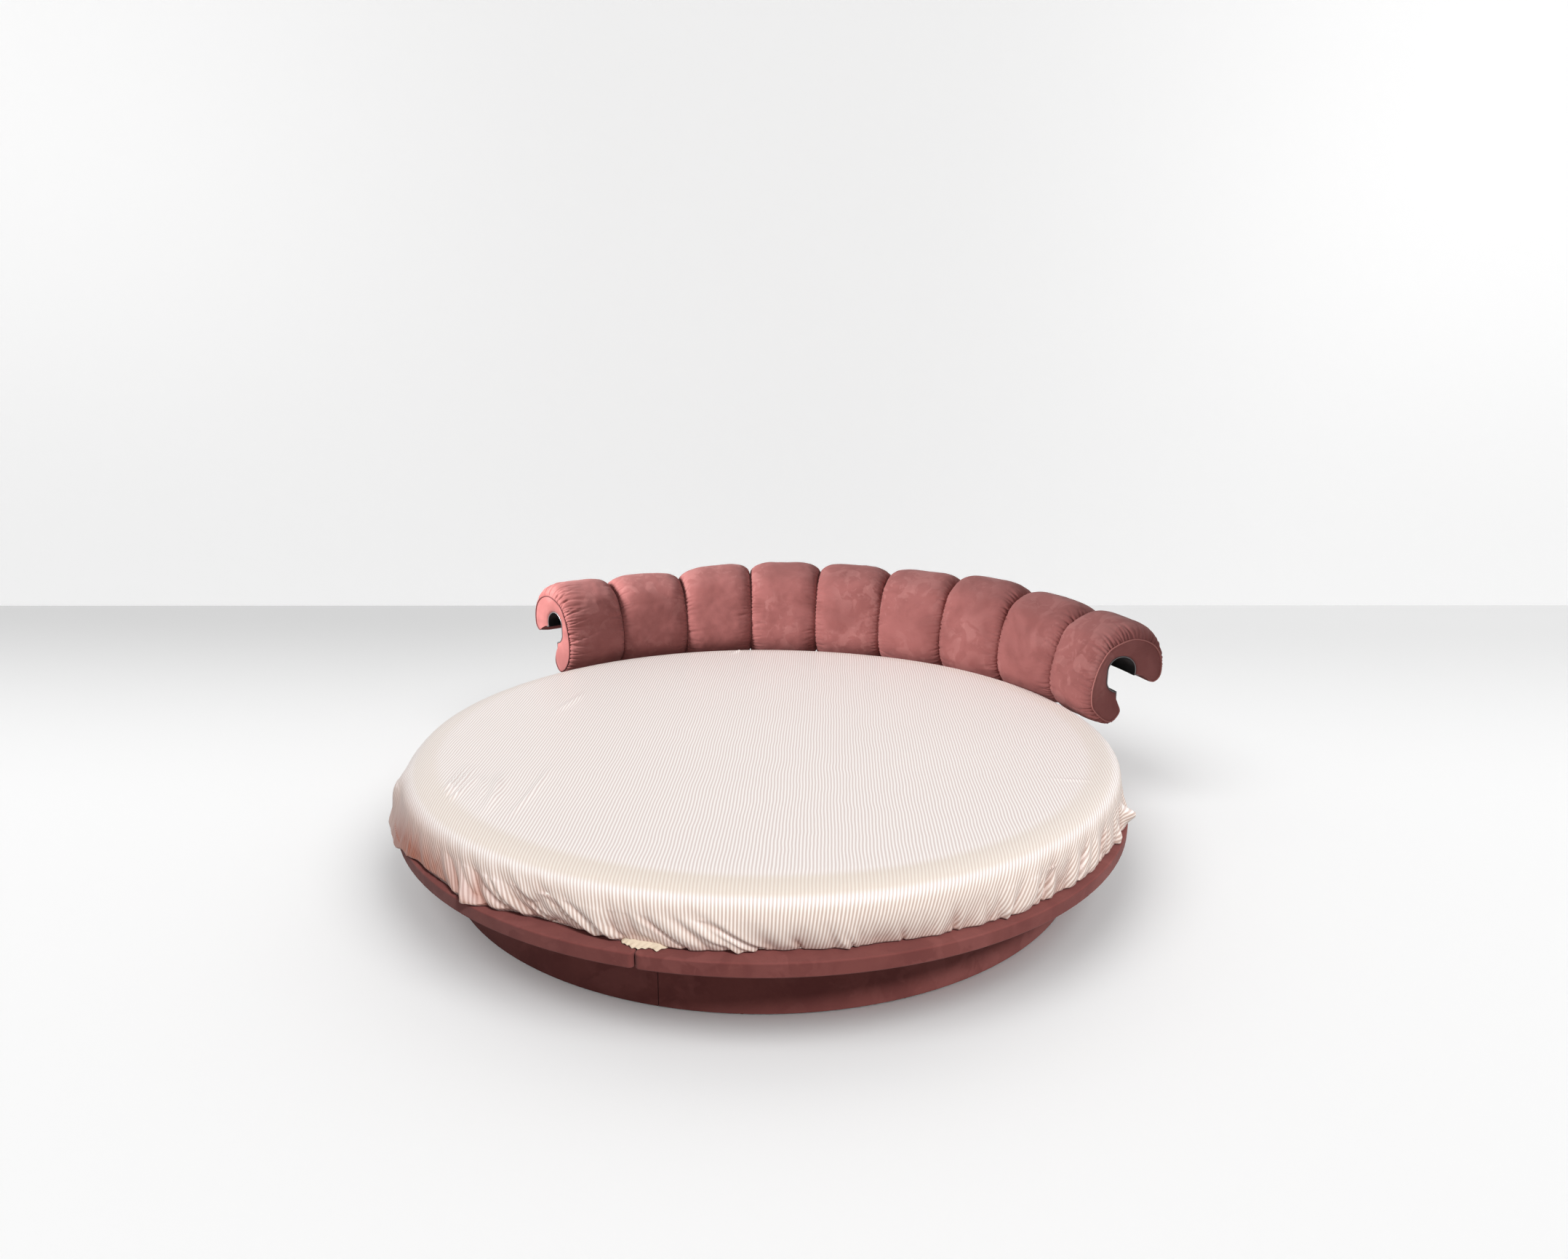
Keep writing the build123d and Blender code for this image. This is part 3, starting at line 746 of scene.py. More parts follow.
def endPanel(points, isEnd, outward, outerRow, innerRow):
    # Gently domed rows of points between the seam and the shell
    faces, panelRows = [], headboard["panelRows"]
    swing, aScale, bScale = headboard["domeNoise"]
    previous = outerRow
    for k in range(1, panelRows):
        share = k / panelRows
        current = []
        for first, last in zip(outerRow, innerRow):
            a, b = np.array(points[first]), np.array(points[last])
            dome = headboard["domes"][isEnd] * 4 * share * (1 - share)
            if isEnd:
                dome *= 1 + swing * noise.noise(Vector(a * aScale + b * bScale))
            current.append(len(points))
            points.append(a + (b - a) * share + outward * dome)
        faces += stitch(previous, current)
        previous = current
    return faces + stitch(previous, innerRow)


def makePad(number):
    shape = headboard
    grid, turn, halfTurn = padGrid(number, random.Random(40 + number))
    rows, columns, wide = shape["rows"], shape["columns"], shape["innerColumns"]
    section = np.broadcast_to(innerLine(rows)[:, None], (rows, wide, 2))
    turns = np.broadcast_to(turn + np.linspace(-1, 1, wide) * halfTurn, section.shape[:2])
    points = list(grid.reshape(-1, 3))
    innerStart = len(points)
    points += list(aroundBed(section, turns).reshape(-1, 3))
    faces = gridFaces(0, rows, columns) + gridFaces(innerStart, rows, wide, turned=True)
    beads = []
    for column, innerColumn, way in ((0, 0, -1), (columns - 1, wide - 1, 1)):
        angle = math.radians(turn + way * halfTurn)
        outward = way * np.array([math.cos(angle), -math.sin(angle), 0])
        isEnd = number == (1 if way < 0 else shape["count"])
        outerRow = [i * columns + column for i in range(rows)]
        innerRow = [innerStart + i * wide + innerColumn for i in range(rows)]
        faces += endPanel(points, isEnd, outward, outerRow, innerRow)
        radius = shape["piping"][isEnd]
        beads.append((way, grid[2:-2:2, column] + outward * radius * 0.5, radius))
    # Lip and tail edges
    for row in (0, rows - 1):
        outerEdge = [row * columns + j for j in range(columns)]
        innerEdge = [innerStart + row * wide + j for j in range(wide)]
        faces += stitch(outerEdge, innerEdge)
    pad = newPiece("pad%d" % number, points, faces, padCover, "base")
    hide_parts("headboard_pad_%d" % number)
    for way, path, radius in beads:
        # Left-hand beads take the shaded piping colour and right-hand beads the lit one, painted shade and painted
        # light on one cord
        sideName, finish = ("Left", pipingDark) if way < 0 else ("Right", pipingLight)
        piping = tubePiece("piping%d%s" % (number, sideName), path, radius, finish, "base")


for number in range(1, headboard["count"] + 1):
    makePad(number)
    print("pad", number)

# Pale lip along the open edges of the two end shells
lip = headboard["lip"]
for number, way in ((1, -1), (headboard["count"], 1)):
    middle, halfWidth = segmentTurns(number)
    line = hookLine(hook["wall"] / 2, lip["steps"])
    path = aroundBed(line, np.full(len(line), middle + way * (halfWidth - lip["inset"])))
    trim = tubePiece("shellLip%d" % number, path, lip["radius"], lipTrim, "base")
print("headboard done")


# Mattress and sheet
bed = {
    "edgeRadius": 1.1000,
    "top": 0.3500,
    "crown": 0.004,
    "shoulder": 0.2980,
    "ledge": 0.2200,
    "rimRadius": 1.1200,
    "elasticRadius": 1.0640,
    "footRadius": 1.0640,
    "footPower": 1.6,
    "under": 0.003,
}
# The sheet's top edge in section, radius and height: tight all round, but softer on the left and fuller at the
# back on the right
tightEdge = ((0.985, 0.3540), (1.018, 0.3522), (1.043, 0.3484), (1.061, 0.3428), (1.074, 0.3345), (1.0825, 0.3235),
             (1.0880, 0.3110), (1.0915, 0.2980))
softEdge = ((0.985, 0.3540), (1.015, 0.3508), (1.042, 0.3446), (1.063, 0.3360), (1.079, 0.3260), (1.0895, 0.3160),
            (1.0955, 0.3065), (1.0985, 0.2980))
fullEdge = ((0.985, 0.3540), (1.028, 0.3538), (1.058, 0.3526), (1.0755, 0.3494), (1.0865, 0.3440), (1.0930, 0.3360),
            (1.0965, 0.3250), (1.0985, 0.2980))
# Radius of the sheet's hem and its height over the ledge at directions seen from above, in degrees
# anticlockwise from +X, read off the photograph for the side that it shows
hemPlaces = (
    (-190, 1.098, 0.0025),
    (-172, 1.102, 0.0025),
    (-160, 1.118, -0.006),
    (-151, 1.131, -0.034),
    (-141, 1.135, -0.038),
    (-134, 1.131, -0.034),
    (-128, 1.125, -0.004),
    (-122, 1.113, 0.009),
    (-116, 1.110, 0.011),
    (-111.5, 1.117, 0.009),
    (-108.6, 1.122, 0.005),
    (-105.5, 1.102, 0.008),
    (-102, 1.086, 0.008),
    (-97.8, 1.078, 0.006),
    (-93, 1.080, 0.0030),
    (-87.2, 1.089, 0.0075),
    (-83.4, 1.090, 0.0065),
    (-80.5, 1.092, 0.0025),
    (-75.7, 1.083, 0.0025),
    (-70, 1.078, 0.0025),
    (-59, 1.083, 0.0025),
    (-50, 1.090, 0.0025),
    (-40, 1.097, 0.0025),
    (-28, 1.098, 0.0025),
    (-18, 1.101, 0.0025),
    (-10, 1.110, 0.0025),
    (-5, 1.119, 0.0035),
    (3, 1.106, 0.0025),
    (20, 1.097, 0.0025),
    (90, 1.090, 0.0025),
    (150, 1.094, 0.0025),
)
# The gathers by direction: spacing, depth, reach up from the hem and lean of the folds (negative runs down to
# the right as the camera sees it)
gathers = (
    (-190, 0.042, 0.0050, 0.065, -0.3),
    (-160, 0.040, 0.0028, 0.060, -0.4),
    (-135, 0.050, 0.0012, 0.060, -0.5),
    (-120, 0.040, 0.0030, 0.065, -0.9),
    (-114, 0.036, 0.0085, 0.082, -1.3),
    (-104, 0.037, 0.0135, 0.090, -1.45),
    (-93, 0.041, 0.0140, 0.090, -1.5),
    (-82, 0.046, 0.0125, 0.080, -1.4),
    (-74, 0.048, 0.0085, 0.062, -0.9),
    (-66, 0.044, 0.0065, 0.050, -0.4),
    (-56, 0.040, 0.0070, 0.050, 0.0),
    (-48, 0.036, 0.0085, 0.056, 0.2),
    (-40, 0.032, 0.0110, 0.072, 0.4),
    (-30, 0.029, 0.0130, 0.085, 0.4),
    (-18, 0.028, 0.0130, 0.085, 0.3),
    (-10, 0.029, 0.0100, 0.075, 0.3),
    (10, 0.040, 0.0060, 0.065, 0.2),
    (90, 0.042, 0.0060, 0.065, 0.0),
    (150, 0.042, 0.0055, 0.065, -0.2),
)
# Single folds seen in the photograph: direction at the hem, push (negative is a valley), width, reach, lean
singleFolds = (
    (-109.5, 0.009, 0.020, 0.075, -0.55),
    (-106.5, -0.008, 0.013, 0.060, -0.70),
    (-101.5, -0.011, 0.009, 0.085, -1.3),
    (-96.8, -0.012, 0.010, 0.090, -1.4),
    (-91.5, -0.011, 0.010, 0.085, -1.5),
    (-80.0, -0.007, 0.008, 0.060, -1.5),
    (-74.2, 0.010, 0.016, 0.060, -1.6),
    (-71.6, -0.016, 0.011, 0.064, -1.7),
    (-67.4, -0.008, 0.007, 0.026, -0.6),
    (-61.5, -0.008, 0.008, 0.036, -0.5),
    (-55.5, -0.007, 0.007, 0.034, -0.2),
    (-49.0, -0.009, 0.009, 0.046, 0.0),
    (-42.5, -0.009, 0.009, 0.060, 0.3),
    (-35.5, -0.012, 0.010, 0.080, 0.55),
    (-28.0, -0.012, 0.010, 0.100, 0.75),
    (-21.0, -0.011, 0.009, 0.090, 0.7),
    (-14.0, -0.010, 0.009, 0.080, 0.5),
)
# Folds that stand proud at the widest places: direction, height, push, width and tallness
sheetEars = (
    (-143.5, 0.048, 0.020, 0.060, 0.050),
    (-7.4, 0.036, 0.034, 0.015, 0.020),
    (-9.3, 0.040, -0.008, 0.007, 0.030),
)
# Long shallow wrinkles on the top: start and end, depth and width
topWrinkles = (
    ((-0.610, -0.850), (-0.662, -0.610), 0.0076, 0.0091),
    ((-0.636, -0.815), (-0.695, -0.600), 0.0056, 0.0078),
    ((-0.580, -0.870), (-0.625, -0.650), 0.0060, 0.0091),
    ((-0.440, -0.880), (-0.575, -0.630), 0.0091, 0.0195),
    ((-0.500, -0.830), (-0.610, -0.660), 0.0050, 0.0117),
    ((-0.375, -0.880), (-0.465, -0.540), 0.0066, 0.0104),
    ((-0.719, -0.130), (-0.750, 0.150), 0.0056, 0.0156),
    ((-0.452, 0.840), (-0.425, 0.985), 0.0066, 0.0091),
    ((0.880, -0.180), (1.020, -0.150), 0.0018, 0.0104),
)
sheet = {
    "columns": 1440,
    "fewest": 45,
    "finest": 0.0026,
    "topRows": 90,
    "topPower": 0.85,
    "lastRings": (0.050, 0.038, 0.026, 0.013),
    "rollRows": 22,
    "softSide": (-138, 21),
    "fullSide": (35, 48),
    "sideRows": 46,
    "sidePower": 1.5,
    "hemRise": 0.004,
    "foldRows": 14,
    "tuckShares": (0.95, 0.85, 0.6, 0.45, 0.25, 0.1, 0, 0),
    "thickness": 0.0011,
    "skinGap": 0.0020,
    "hemGap": 0.0025,
    "lie": 0.0014,
    "rimReach": 0.0015,
    "shoulderGap": 0.002,
    "bow": 0.004,
    "hemWave": (0.0025, 22, 9),
    "hemRun": 0.03,
    "ripple": (0.0005, 75, 45),
    "topWave": (0.0012, 3.1, 4.7),
}
# The cloth's turn under its hem: steps inward and up from the hem, past the rim where it hangs over that, and then
# over the ledge to the elastic
tuck = {
    "first": (0.0012, 0.001),
    "second": (0.0035, 0.0005),
    "turn": 0.006,
    "hangTurn": 0.005,
    "rimGap": 0.003,
    "rimSteps": (0.0022, 0.004),
    "ledgeSteps": (0.004, 0.009, 0.010),
    "elasticStep": 0.006,
    "low": 0.0020,
    "high": 0.0022,
}
# Painted shade on the side: how it darkens towards its hem and in the folds' valleys, round the darkest direction
# and its widths to either side
shading = {
    "centre": -127,
    "widths": (15, 19),
    "least": 0.12,
    "drop": 0.018,
    "run": 0.085,
    "power": 0.8,
    "hemShare": 0.15,
    "hemRun": 0.02,
    "valleyShare": 0.28,
    "valleyDepth": 0.007,
}
# The darker band painted round the top's edge, a painted shade where the satin's sheen dims, strongest at the front
edgeBand = {"centre": -72, "width": 62, "least": 0.35, "inner": (0.985, 0.035), "outer": (1.074, 0.014)}


def aroundTable(table, angles, column):
    # A column of a table of directions, read smoothly all the way round
    places = np.array(table, float)
    degrees = (np.degrees(angles) - places[0, 0]) % 360 + places[0, 0]
    wrapped = np.vstack([places, places[:1]])
    wrapped[-1, 0] += 360
    spot = np.searchsorted(wrapped[:, 0], degrees, side="right") - 1
    spot = np.clip(spot, 0, len(wrapped) - 2)
    start, end = wrapped[spot], wrapped[spot + 1]
    t = easeIn((degrees - start[:, 0]) / (end[:, 0] - start[:, 0]))
    return start[:, column] * (1 - t) + end[:, column] * t


def mattressRadius(height):
    # Outside of the mattress itself at this height, which the sheet stays clear of
    t = np.clip((bed["shoulder"] - height) / (bed["shoulder"] - bed["ledge"]), 0, 1)
    edge = tightEdge[-1][0] - bed["under"]
    return edge - (edge - bed["footRadius"]) * t ** bed["footPower"]


def edgeRows(angles, count):
    # Rows of the top edge's radius and height at these directions
    left, back = (np.exp(-(aside(angles, centre) / width) ** 4)
                  for centre, width in (sheet["softSide"], sheet["fullSide"]))
    lines = [smoothLine(table, count) for table in (tightEdge, softEdge, fullEdge)]
    return [tight[:, None] + np.outer(soft - tight, left) + np.outer(wide - tight, back)
            for tight, soft, wide in zip(*lines)]


def sheetColumn(angles):
    # Sections of the sheet at these directions: rows of radius, height and outward normal, without folds
    flat, top = tightEdge[0][0], bed["top"] + bed["crown"]
    hemRadius = aroundTable(hemPlaces, angles, 1)
    hemHeight = bed["ledge"] + aroundTable(hemPlaces, angles, 2)
    one = np.ones(len(angles))
    start, *last = (flat - step for step in sheet["lastRings"])
    spread = np.linspace(0, 1, sheet["topRows"] + 1)[1:] ** sheet["topPower"] * start
    rows = [(r * one, top * one) for r in [*spread, *last]]
    rows += [tuple(row) for row in edgeRows(angles, sheet["rollRows"])]
    edge = rows[-1][0]
    for t in np.linspace(0, 1, sheet["sideRows"] + 1)[1:]:
        ease = t ** sheet["sidePower"]
        radius = edge * (1 - ease) + hemRadius * ease + sheet["bow"] * 4 * t * (1 - t)
        rows.append((radius, bed["shoulder"] * (1 - t) + (hemHeight + sheet["hemRise"]) * t))
    # Round the hem and under it to the elastic; where it hangs over the rim it comes back up first
    ledge, rim, elastic = bed["ledge"], bed["rimRadius"], bed["elasticRadius"]
    (firstIn, firstUp), (secondIn, secondDown) = tuck["first"], tuck["second"]
    (rimOut, rimIn), (ledgeIn, furtherIn, half) = tuck["rimSteps"], tuck["ledgeSteps"]
    low, high = ledge + tuck["low"], (ledge + tuck["high"]) * one
    over = hemHeight < ledge
    hanging = np.maximum(hemRadius - tuck["hangTurn"], rim + tuck["rimGap"])
    under = np.where(over, hanging, hemRadius - tuck["turn"])
    rows += [
        (hemRadius - firstIn, hemHeight + firstUp),
        (hemRadius - secondIn, hemHeight - secondDown * over),
        (under, np.where(over, hemHeight + firstUp, high)),
        (np.where(over, rim + rimOut, under - ledgeIn), np.where(over, ledge, low)),
        (np.where(over, rim - rimIn, under - furtherIn), high),
        (0.5 * (under - half + elastic), low * one),
        (elastic * one + tuck["elasticStep"], low * one),
        (elastic * one, high),
    ]
    radius, height = (np.array(values) for values in zip(*rows))
    alongR, alongZ = np.gradient(radius, axis=0), np.gradient(height, axis=0)
    size = np.hypot(alongR, alongZ)
    return radius, height, -alongZ / size, alongR / size


# How the gathers' folds are drawn: sizes and shares of the main folds and of the small ones between them
folds = {
    "highest": 2.2,
    "round": 0.62,
    "rise": 3.2,
    "smallScale": 2.1,
    "smallShift": (7, -3),
    "middle": 0.22,
    "mainShare": 2.6,
    "smallShare": 0.35,
    "smallFade": 2.2,
    "held": 0.55,
    "heldRun": 0.018,
    "start": 0.8,
    "shoulder": 0.9,
}


def awayFrom(angles, places):
    # Distance round the mattress's edge from these places on it
    around = 2 * math.pi * bed["edgeRadius"]
    return (angles * bed["edgeRadius"] - places + around / 2) % around - around / 2


def gatherLift(angles, above):
    # Folds of the gathered skirt at one row, outward positive
    look, edge = folds, bed["edgeRadius"]
    spacing, depth, reach, lean = (aroundTable(gathers, angles, k) for k in (1, 2, 3, 4))
    lift = np.zeros(len(angles))
    for k, up in enumerate(above):
        high = up / reach[k]
        if high > look["highest"]:
            continue
        spin = (angles[k] * edge - lean[k] * up) / edge
        circle = Vector((math.cos(spin), math.sin(spin), 0)) * (edge / spacing[k] * look["round"])
        circle.z = up * look["rise"]
        main = abs(noise.noise(circle)) - look["middle"]
        circle.x, circle.y = (value * look["smallScale"] + shift for value, shift in zip(circle, look["smallShift"]))
        small = abs(noise.noise(circle)) - look["middle"]
        held = look["held"] + (1 - look["held"]) * min(1.0, up / look["heldRun"])
        lift[k] = depth[k] * held * (look["mainShare"] * main * math.exp(-high * high)
                                     + look["smallShare"] * small * math.exp(-(high * look["smallFade"]) ** 2))
    for azimuth, push, wide, reach, lean in singleFolds:
        away = awayFrom(angles, math.radians(azimuth) * edge + lean * above)
        offset = away / (wide * (look["start"] + above / reach))
        lift += push * (1 - look["shoulder"] * offset**2) * np.exp(-offset**2 - (above / reach) ** 2)
    return lift


def earLift(angles, above):
    lift = np.zeros(len(angles))
    for azimuth, height, push, wide, tall in sheetEars:
        away = awayFrom(angles, math.radians(azimuth) * bed["edgeRadius"])
        lift += push * np.exp(-(away / wide) ** 2 - ((above - height) / tall) ** 2)
    return lift


# Every wrinkle's bend, the share of it that fades at each end, and the hollows beside it
wrinkleShape = {"bend": 0.008, "fade": 0.35, "hollows": 0.6}


def topLift(x, y):
    size, scale, level = sheet["topWave"]
    lift = np.array([noise.noise(Vector((a * scale, b * scale, level))) for a, b in zip(x, y)]) * size
    look = wrinkleShape
    for start, end, depth, width in topWrinkles:
        run = np.subtract(end, start)
        long = np.linalg.norm(run)
        run /= long
        along = (x - start[0]) * run[0] + (y - start[1]) * run[1]
        bend = look["bend"] * np.sin(along / long * math.pi)
        offset = ((x - start[0]) * -run[1] + (y - start[1]) * run[0] + bend) / width
        ends = look["fade"] * long
        fade = np.clip(along / ends, 0, 1) * np.clip((long - along) / ends, 0, 1)
        lift += depth * fade * (1 - look["hollows"] * offset**2) * np.exp(-offset**2)
    return lift


def clothTones(angles, r, z, above, push):
    # How much of the painted shade and of the painted shade band round the top's edge shows at each point
    look = shading
    away = aside(angles, look["centre"])
    reach = look["least"] + (1 - look["least"]) * np.exp(-(away / np.where(away < 0, *look["widths"])) ** 2)
    low = np.clip((bed["top"] - look["drop"] - z) / look["run"], 0, 1)
    hem = np.clip(1 - above / look["hemRun"], 0, 1)
    valley = np.clip(-push / look["valleyDepth"], 0, 1)
    shade = reach * low ** look["power"] + look["hemShare"] * hem + look["valleyShare"] * valley
    look = edgeBand
    (inner, innerRun), (outer, outerRun) = look["inner"], look["outer"]
    ramp = np.clip((r - inner) / innerRun, 0, 1) * np.clip((outer - r) / outerRun, 0, 1)
    front = look["least"] + (1 - look["least"]) * np.exp(-(aside(angles, look["centre"]) / look["width"]) ** 2)
    return np.clip(shade, 0, 1), easeIn(ramp) * front * (z > bed["shoulder"])


def makeSheet():
    columns, tuckShares = sheet["columns"], sheet["tuckShares"]
    full = np.linspace(0, 2 * math.pi, columns, endpoint=False)
    radius, height, outR, outZ = sheetColumn(full)
    length = np.vstack([radius[:1], np.hypot(np.diff(radius, axis=0), np.diff(height, axis=0))])
    length = np.cumsum(length, axis=0)
    rollStart = sheet["topRows"] + len(sheet["lastRings"]) - 1
    foldStart = rollStart + sheet["rollRows"] // 2
    tuckStart = len(radius) - len(tuckShares)
    points, cloth, shade, band, rowsOf = [(0, 0, bed["top"] + bed["crown"])], [(0, 0)], [0.0], [0.0], []
    hemSize, hemScale, hemLevel = sheet["hemWave"]
    rippleSize, rippleScale, rippleRise = sheet["ripple"]
    hemNoise = ringNoise(full, hemScale, np.full(columns, hemLevel))
    for row in range(len(radius)):
        arc = 2 * math.pi * radius[row].mean() / columns
        step = 1
        while columns // step > sheet["fewest"] and columns % (2 * step) == 0 and arc * step < sheet["finest"]:
            step *= 2
        pick = slice(0, columns, step)
        angles, r, z = full[pick], radius[row, pick], height[row, pick]
        above = np.maximum(z - (bed["ledge"] + sheet["hemGap"]), 0)
        push = np.zeros(len(angles))
        if row >= tuckStart:
            push = lastPush[pick] * tuckShares[row - tuckStart]
            r = r + push
        else:
            if row >= foldStart:
                down = min(1.0, (row - foldStart) / sheet["foldRows"])
                push = (gatherLift(angles, above) + earLift(angles, above)) * down
                push += hemSize * hemNoise[pick] * np.exp(-(above / sheet["hemRun"]) ** 2)
                push += rippleSize * ringNoise(angles, rippleScale, above * rippleRise)
            r, z = r + push * outR[row, pick], z + push * outZ[row, pick]
            lastPush = push
            clear = mattressRadius(z) + sheet["skinGap"]
            r = np.where(z < bed["shoulder"] - sheet["shoulderGap"], np.maximum(r, clear), r)
        past = r < bed["rimRadius"] + sheet["rimReach"]
        z = np.where(past, np.maximum(z, bed["ledge"] + sheet["lie"]), z)
        x, y = r * np.cos(angles), r * np.sin(angles)
        if row < rollStart + 5:
            z = z + topLift(x, y)
        rowsOf.append([len(points) + k for k in range(len(angles))])
        points += list(np.stack([x, y, z], 1))
        s = length[row, pick]
        cloth += list(np.stack([s * np.cos(angles), s * np.sin(angles)], 1))
        shown = clothTones(angles, r, z, above, push)
        shade += list(shown[0])
        band += list(shown[1])
    first = rowsOf[0]
    faces = [(0, first[k], first[(k + 1) % len(first)]) for k in range(len(first))] + ringFaces(rowsOf)
    piece = newPiece("fittedSheet", points, faces, satinStripe, "mattress")
    layer = piece.data.uv_layers.new(name="cloth")
    turn = math.radians(satin["angle"])
    flat = np.array(cloth)
    across = flat[:, 0] * math.cos(turn) + flat[:, 1] * math.sin(turn)
    up = -flat[:, 0] * math.sin(turn) + flat[:, 1] * math.cos(turn)
    uv = np.stack([across + (satin["lean"] + satin["fan"] * across) * up, up], 1)
    loops = np.zeros(len(piece.data.loops), int)
    piece.data.loops.foreach_get("vertex_index", loops)
    layer.data.foreach_set("uv", uv[loops].ravel())
    for name, values in (("shade", shade), ("edgeBand", band)):
        piece.data.attributes.new(name, "FLOAT", "POINT").data.foreach_set("value", np.array(values))
    thicken(piece, sheet["thickness"], -1)
    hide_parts("fitted_sheet")
    reach = length[-1].mean()
    print("sheet", len(points), "points, cut radius", round(reach, 3))
    return piece, reach


sheetPiece, sheetReach = makeSheet()

# The sheet's plain inner hem, pushed out from under it at the front
ruffle = {
    "from": -88.0,
    "to": -82.2,
    "radius": 1.0990,
    "inner": 1.078,
    "height": 0.011,
    "columns": 260,
    "rows": 9,
    "taper": (0.18, 0.6),
    "start": 0.15,
    "slope": 1.4,
    "broadWave": (19, 1.6, 7, 0.0040),
    "fineWave": (43, 1.3, 0.0009),
    "ripple": (51, 0.0012),
    "thickness": 0.0008,
}


def makeRuffle(look):
    angles = np.radians(np.linspace(look["from"], look["to"], look["columns"]))
    share = np.linspace(0, 1, look["columns"])
    taperRun, taperPower = look["taper"]
    taper = np.clip(np.minimum(share, 1 - share) / taperRun, 0, 1) ** taperPower
    turns, swing, swingTurns, broad = look["broadWave"]
    fineTurns, fineShift, fine = look["fineWave"]
    wave = np.sin(share * turns + swing * np.sin(share * swingTurns)) * broad
    wave += np.sin(share * fineTurns + fineShift) * fine
    points, faces = [], gridFaces(0, look["rows"], look["columns"])
    for k in range(look["rows"]):
        t = k / (look["rows"] - 1)
        grown = look["start"] + (1 - look["start"]) * t
        out = look["inner"] + (look["radius"] - look["inner"]) * grown * taper + wave * t * taper
        rise = look["height"] * (1 - t) ** look["slope"] * taper
        rise += look["ripple"][1] * (1 + np.sin(share * look["ripple"][0] + k)) * t
        z = bed["ledge"] + sheet["lie"] + rise
        points += list(np.stack([out * np.cos(angles), out * np.sin(angles), z], 1))
    piece = newPiece("innerHem", points, faces, plainHem, "mattress")
    thicken(piece, look["thickness"], 1)
    return piece


hemPiece = makeRuffle(ruffle)
print("sheet done")


# The ticking mattress under the sheet, which stays clear of it all round
core = {
    "columns": 240,
    "topGap": 0.0045,
    "rimGap": 0.01,
    "footGap": 0.0036,
    "sag": 0.001,
    "middle": 0.05,
    "topRings": 24,
    "edgeGap": (0.004, 0.0058),
    "edgeRings": 14,
    "sideEnds": (0.006, 0.012),
    "sideRings": 16,
    "footRings": (1.058, 1.0, 0.7, 0.3, 0.05),
    "softness": 0.95,
}


def makeMattress(look):
    top, foot = bed["top"] + bed["crown"] - look["topGap"], bed["ledge"] + look["footGap"]
    columns, (inward, lower), (upEnd, lowEnd) = look["columns"], look["edgeGap"], look["sideEnds"]
    angles = np.linspace(0, 2 * math.pi, columns, endpoint=False)
    topRadii = np.linspace(look["middle"], tightEdge[0][0] - look["rimGap"], look["topRings"])
    profile = [(r, top - look["sag"] * r) for r in topRadii]
    profile += [(r - inward, z - lower) for r, z in edgeRows(angles, look["edgeRings"])]
    side = np.linspace(bed["shoulder"] - upEnd, foot + lowEnd, look["sideRings"])
    profile += [(mattressRadius(z), z) for z in side]
    profile += [(r, foot) for r in look["footRings"]]
    points, rows = [], []
    for r, z in profile:
        rows.append([len(points) + k for k in range(columns)])
        points += list(np.stack([r * np.cos(angles), r * np.sin(angles), z + 0 * angles], 1))
    topCentre, bottomCentre = len(points), len(points) + 1
    points += [(0, 0, top), (0, 0, foot)]
    faces = [(topCentre, rows[0][k], rows[0][(k + 1) % columns]) for k in range(columns)]
    faces += [(bottomCentre, rows[-1][(k + 1) % columns], rows[-1][k]) for k in range(columns)]
    piece = newPiece("mattress", points, faces + ringFaces(rows), tickingCloth, "mattress")
    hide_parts("mattress_core")


makeMattress(core)
print("mattress done")

# Floor, backdrop and light; the ranges are in metres as the camera sees the floor, to the right and ahead
studio = {
    "floorTone": (247, 247, 247),
    # floorFarShade is painted shade on the floor, darker towards the far left
    "floorFarShade": (208, 208, 208),
    "wallTone": (240, 240, 240),
    "wallGlow": 0.27,
    "wallSides": 0.10,
    "wallRight": 0.05,
    "bounce": 0.45,
    "wallDistance": 6.6,
    "skyStrength": 0.36,
    "tilt": 3.0,
    "half": 30,
    "tall": 14,
    "farRange": (0.0, 3.4),
    "leftRange": (1.2, -2.4, 0.6, 1.0),
    "sideRange": (1.0, 5.2),
    "highRange": (0.3, 3.4),
    "rightRange": (0.0, 5.0),
    "floorGrain": (0.03, (90, 4, 0.6)),
    "wallGrain": (0.02, (30, 4, 0.6)),
    "surface": {"Roughness": 0.95, "Specular IOR Level": 0.0},
}
# Soft suns: where each comes from as the camera sees it (right, ahead), its rise, size and strength
suns = {
    "bedLight": {"from": (0.58, -0.80), "rise": 42.0, "size": 12.0, "strength": 1.6},
    "bedFill": {"from": (-0.15, -0.98), "rise": 46.0, "size": 70.0, "strength": 1.3},
    "baseLight": {"from": (0.58, -0.80), "rise": 47.0, "size": 10.0, "strength": 2.9},
    "floorLeft": {"from": (-0.80, -0.60), "rise": 52.0, "size": 40.0, "strength": 1.17},
    "floorRight": {"from": (0.80, -0.60), "rise": 52.0, "size": 40.0, "strength": 1.17},
}
# The lamp on the left that lights the headboard
headboardLamp = {"place": (-2.45, -0.95, 1.65), "aim": (-2.2, 2.2, 0.45), "size": 0.9, "power": 175.0}


def cameraSpot(right, ahead):
    # A direction or place given as the camera sees the floor, in the bed's own frame
    yaw = math.radians(photoView["yaw"])
    return Vector((right * math.cos(yaw) - ahead * math.sin(yaw), right * math.sin(yaw) + ahead * math.cos(yaw), 0))


def addStage(name, corners, material):
    mesh = bpy.data.meshes.new(name)
    mesh.from_pydata([tuple(p) for p in corners], [], [(0, 1, 2, 3)])
    mesh.materials.append(material)
    piece = addObject(name, mesh)
    return piece


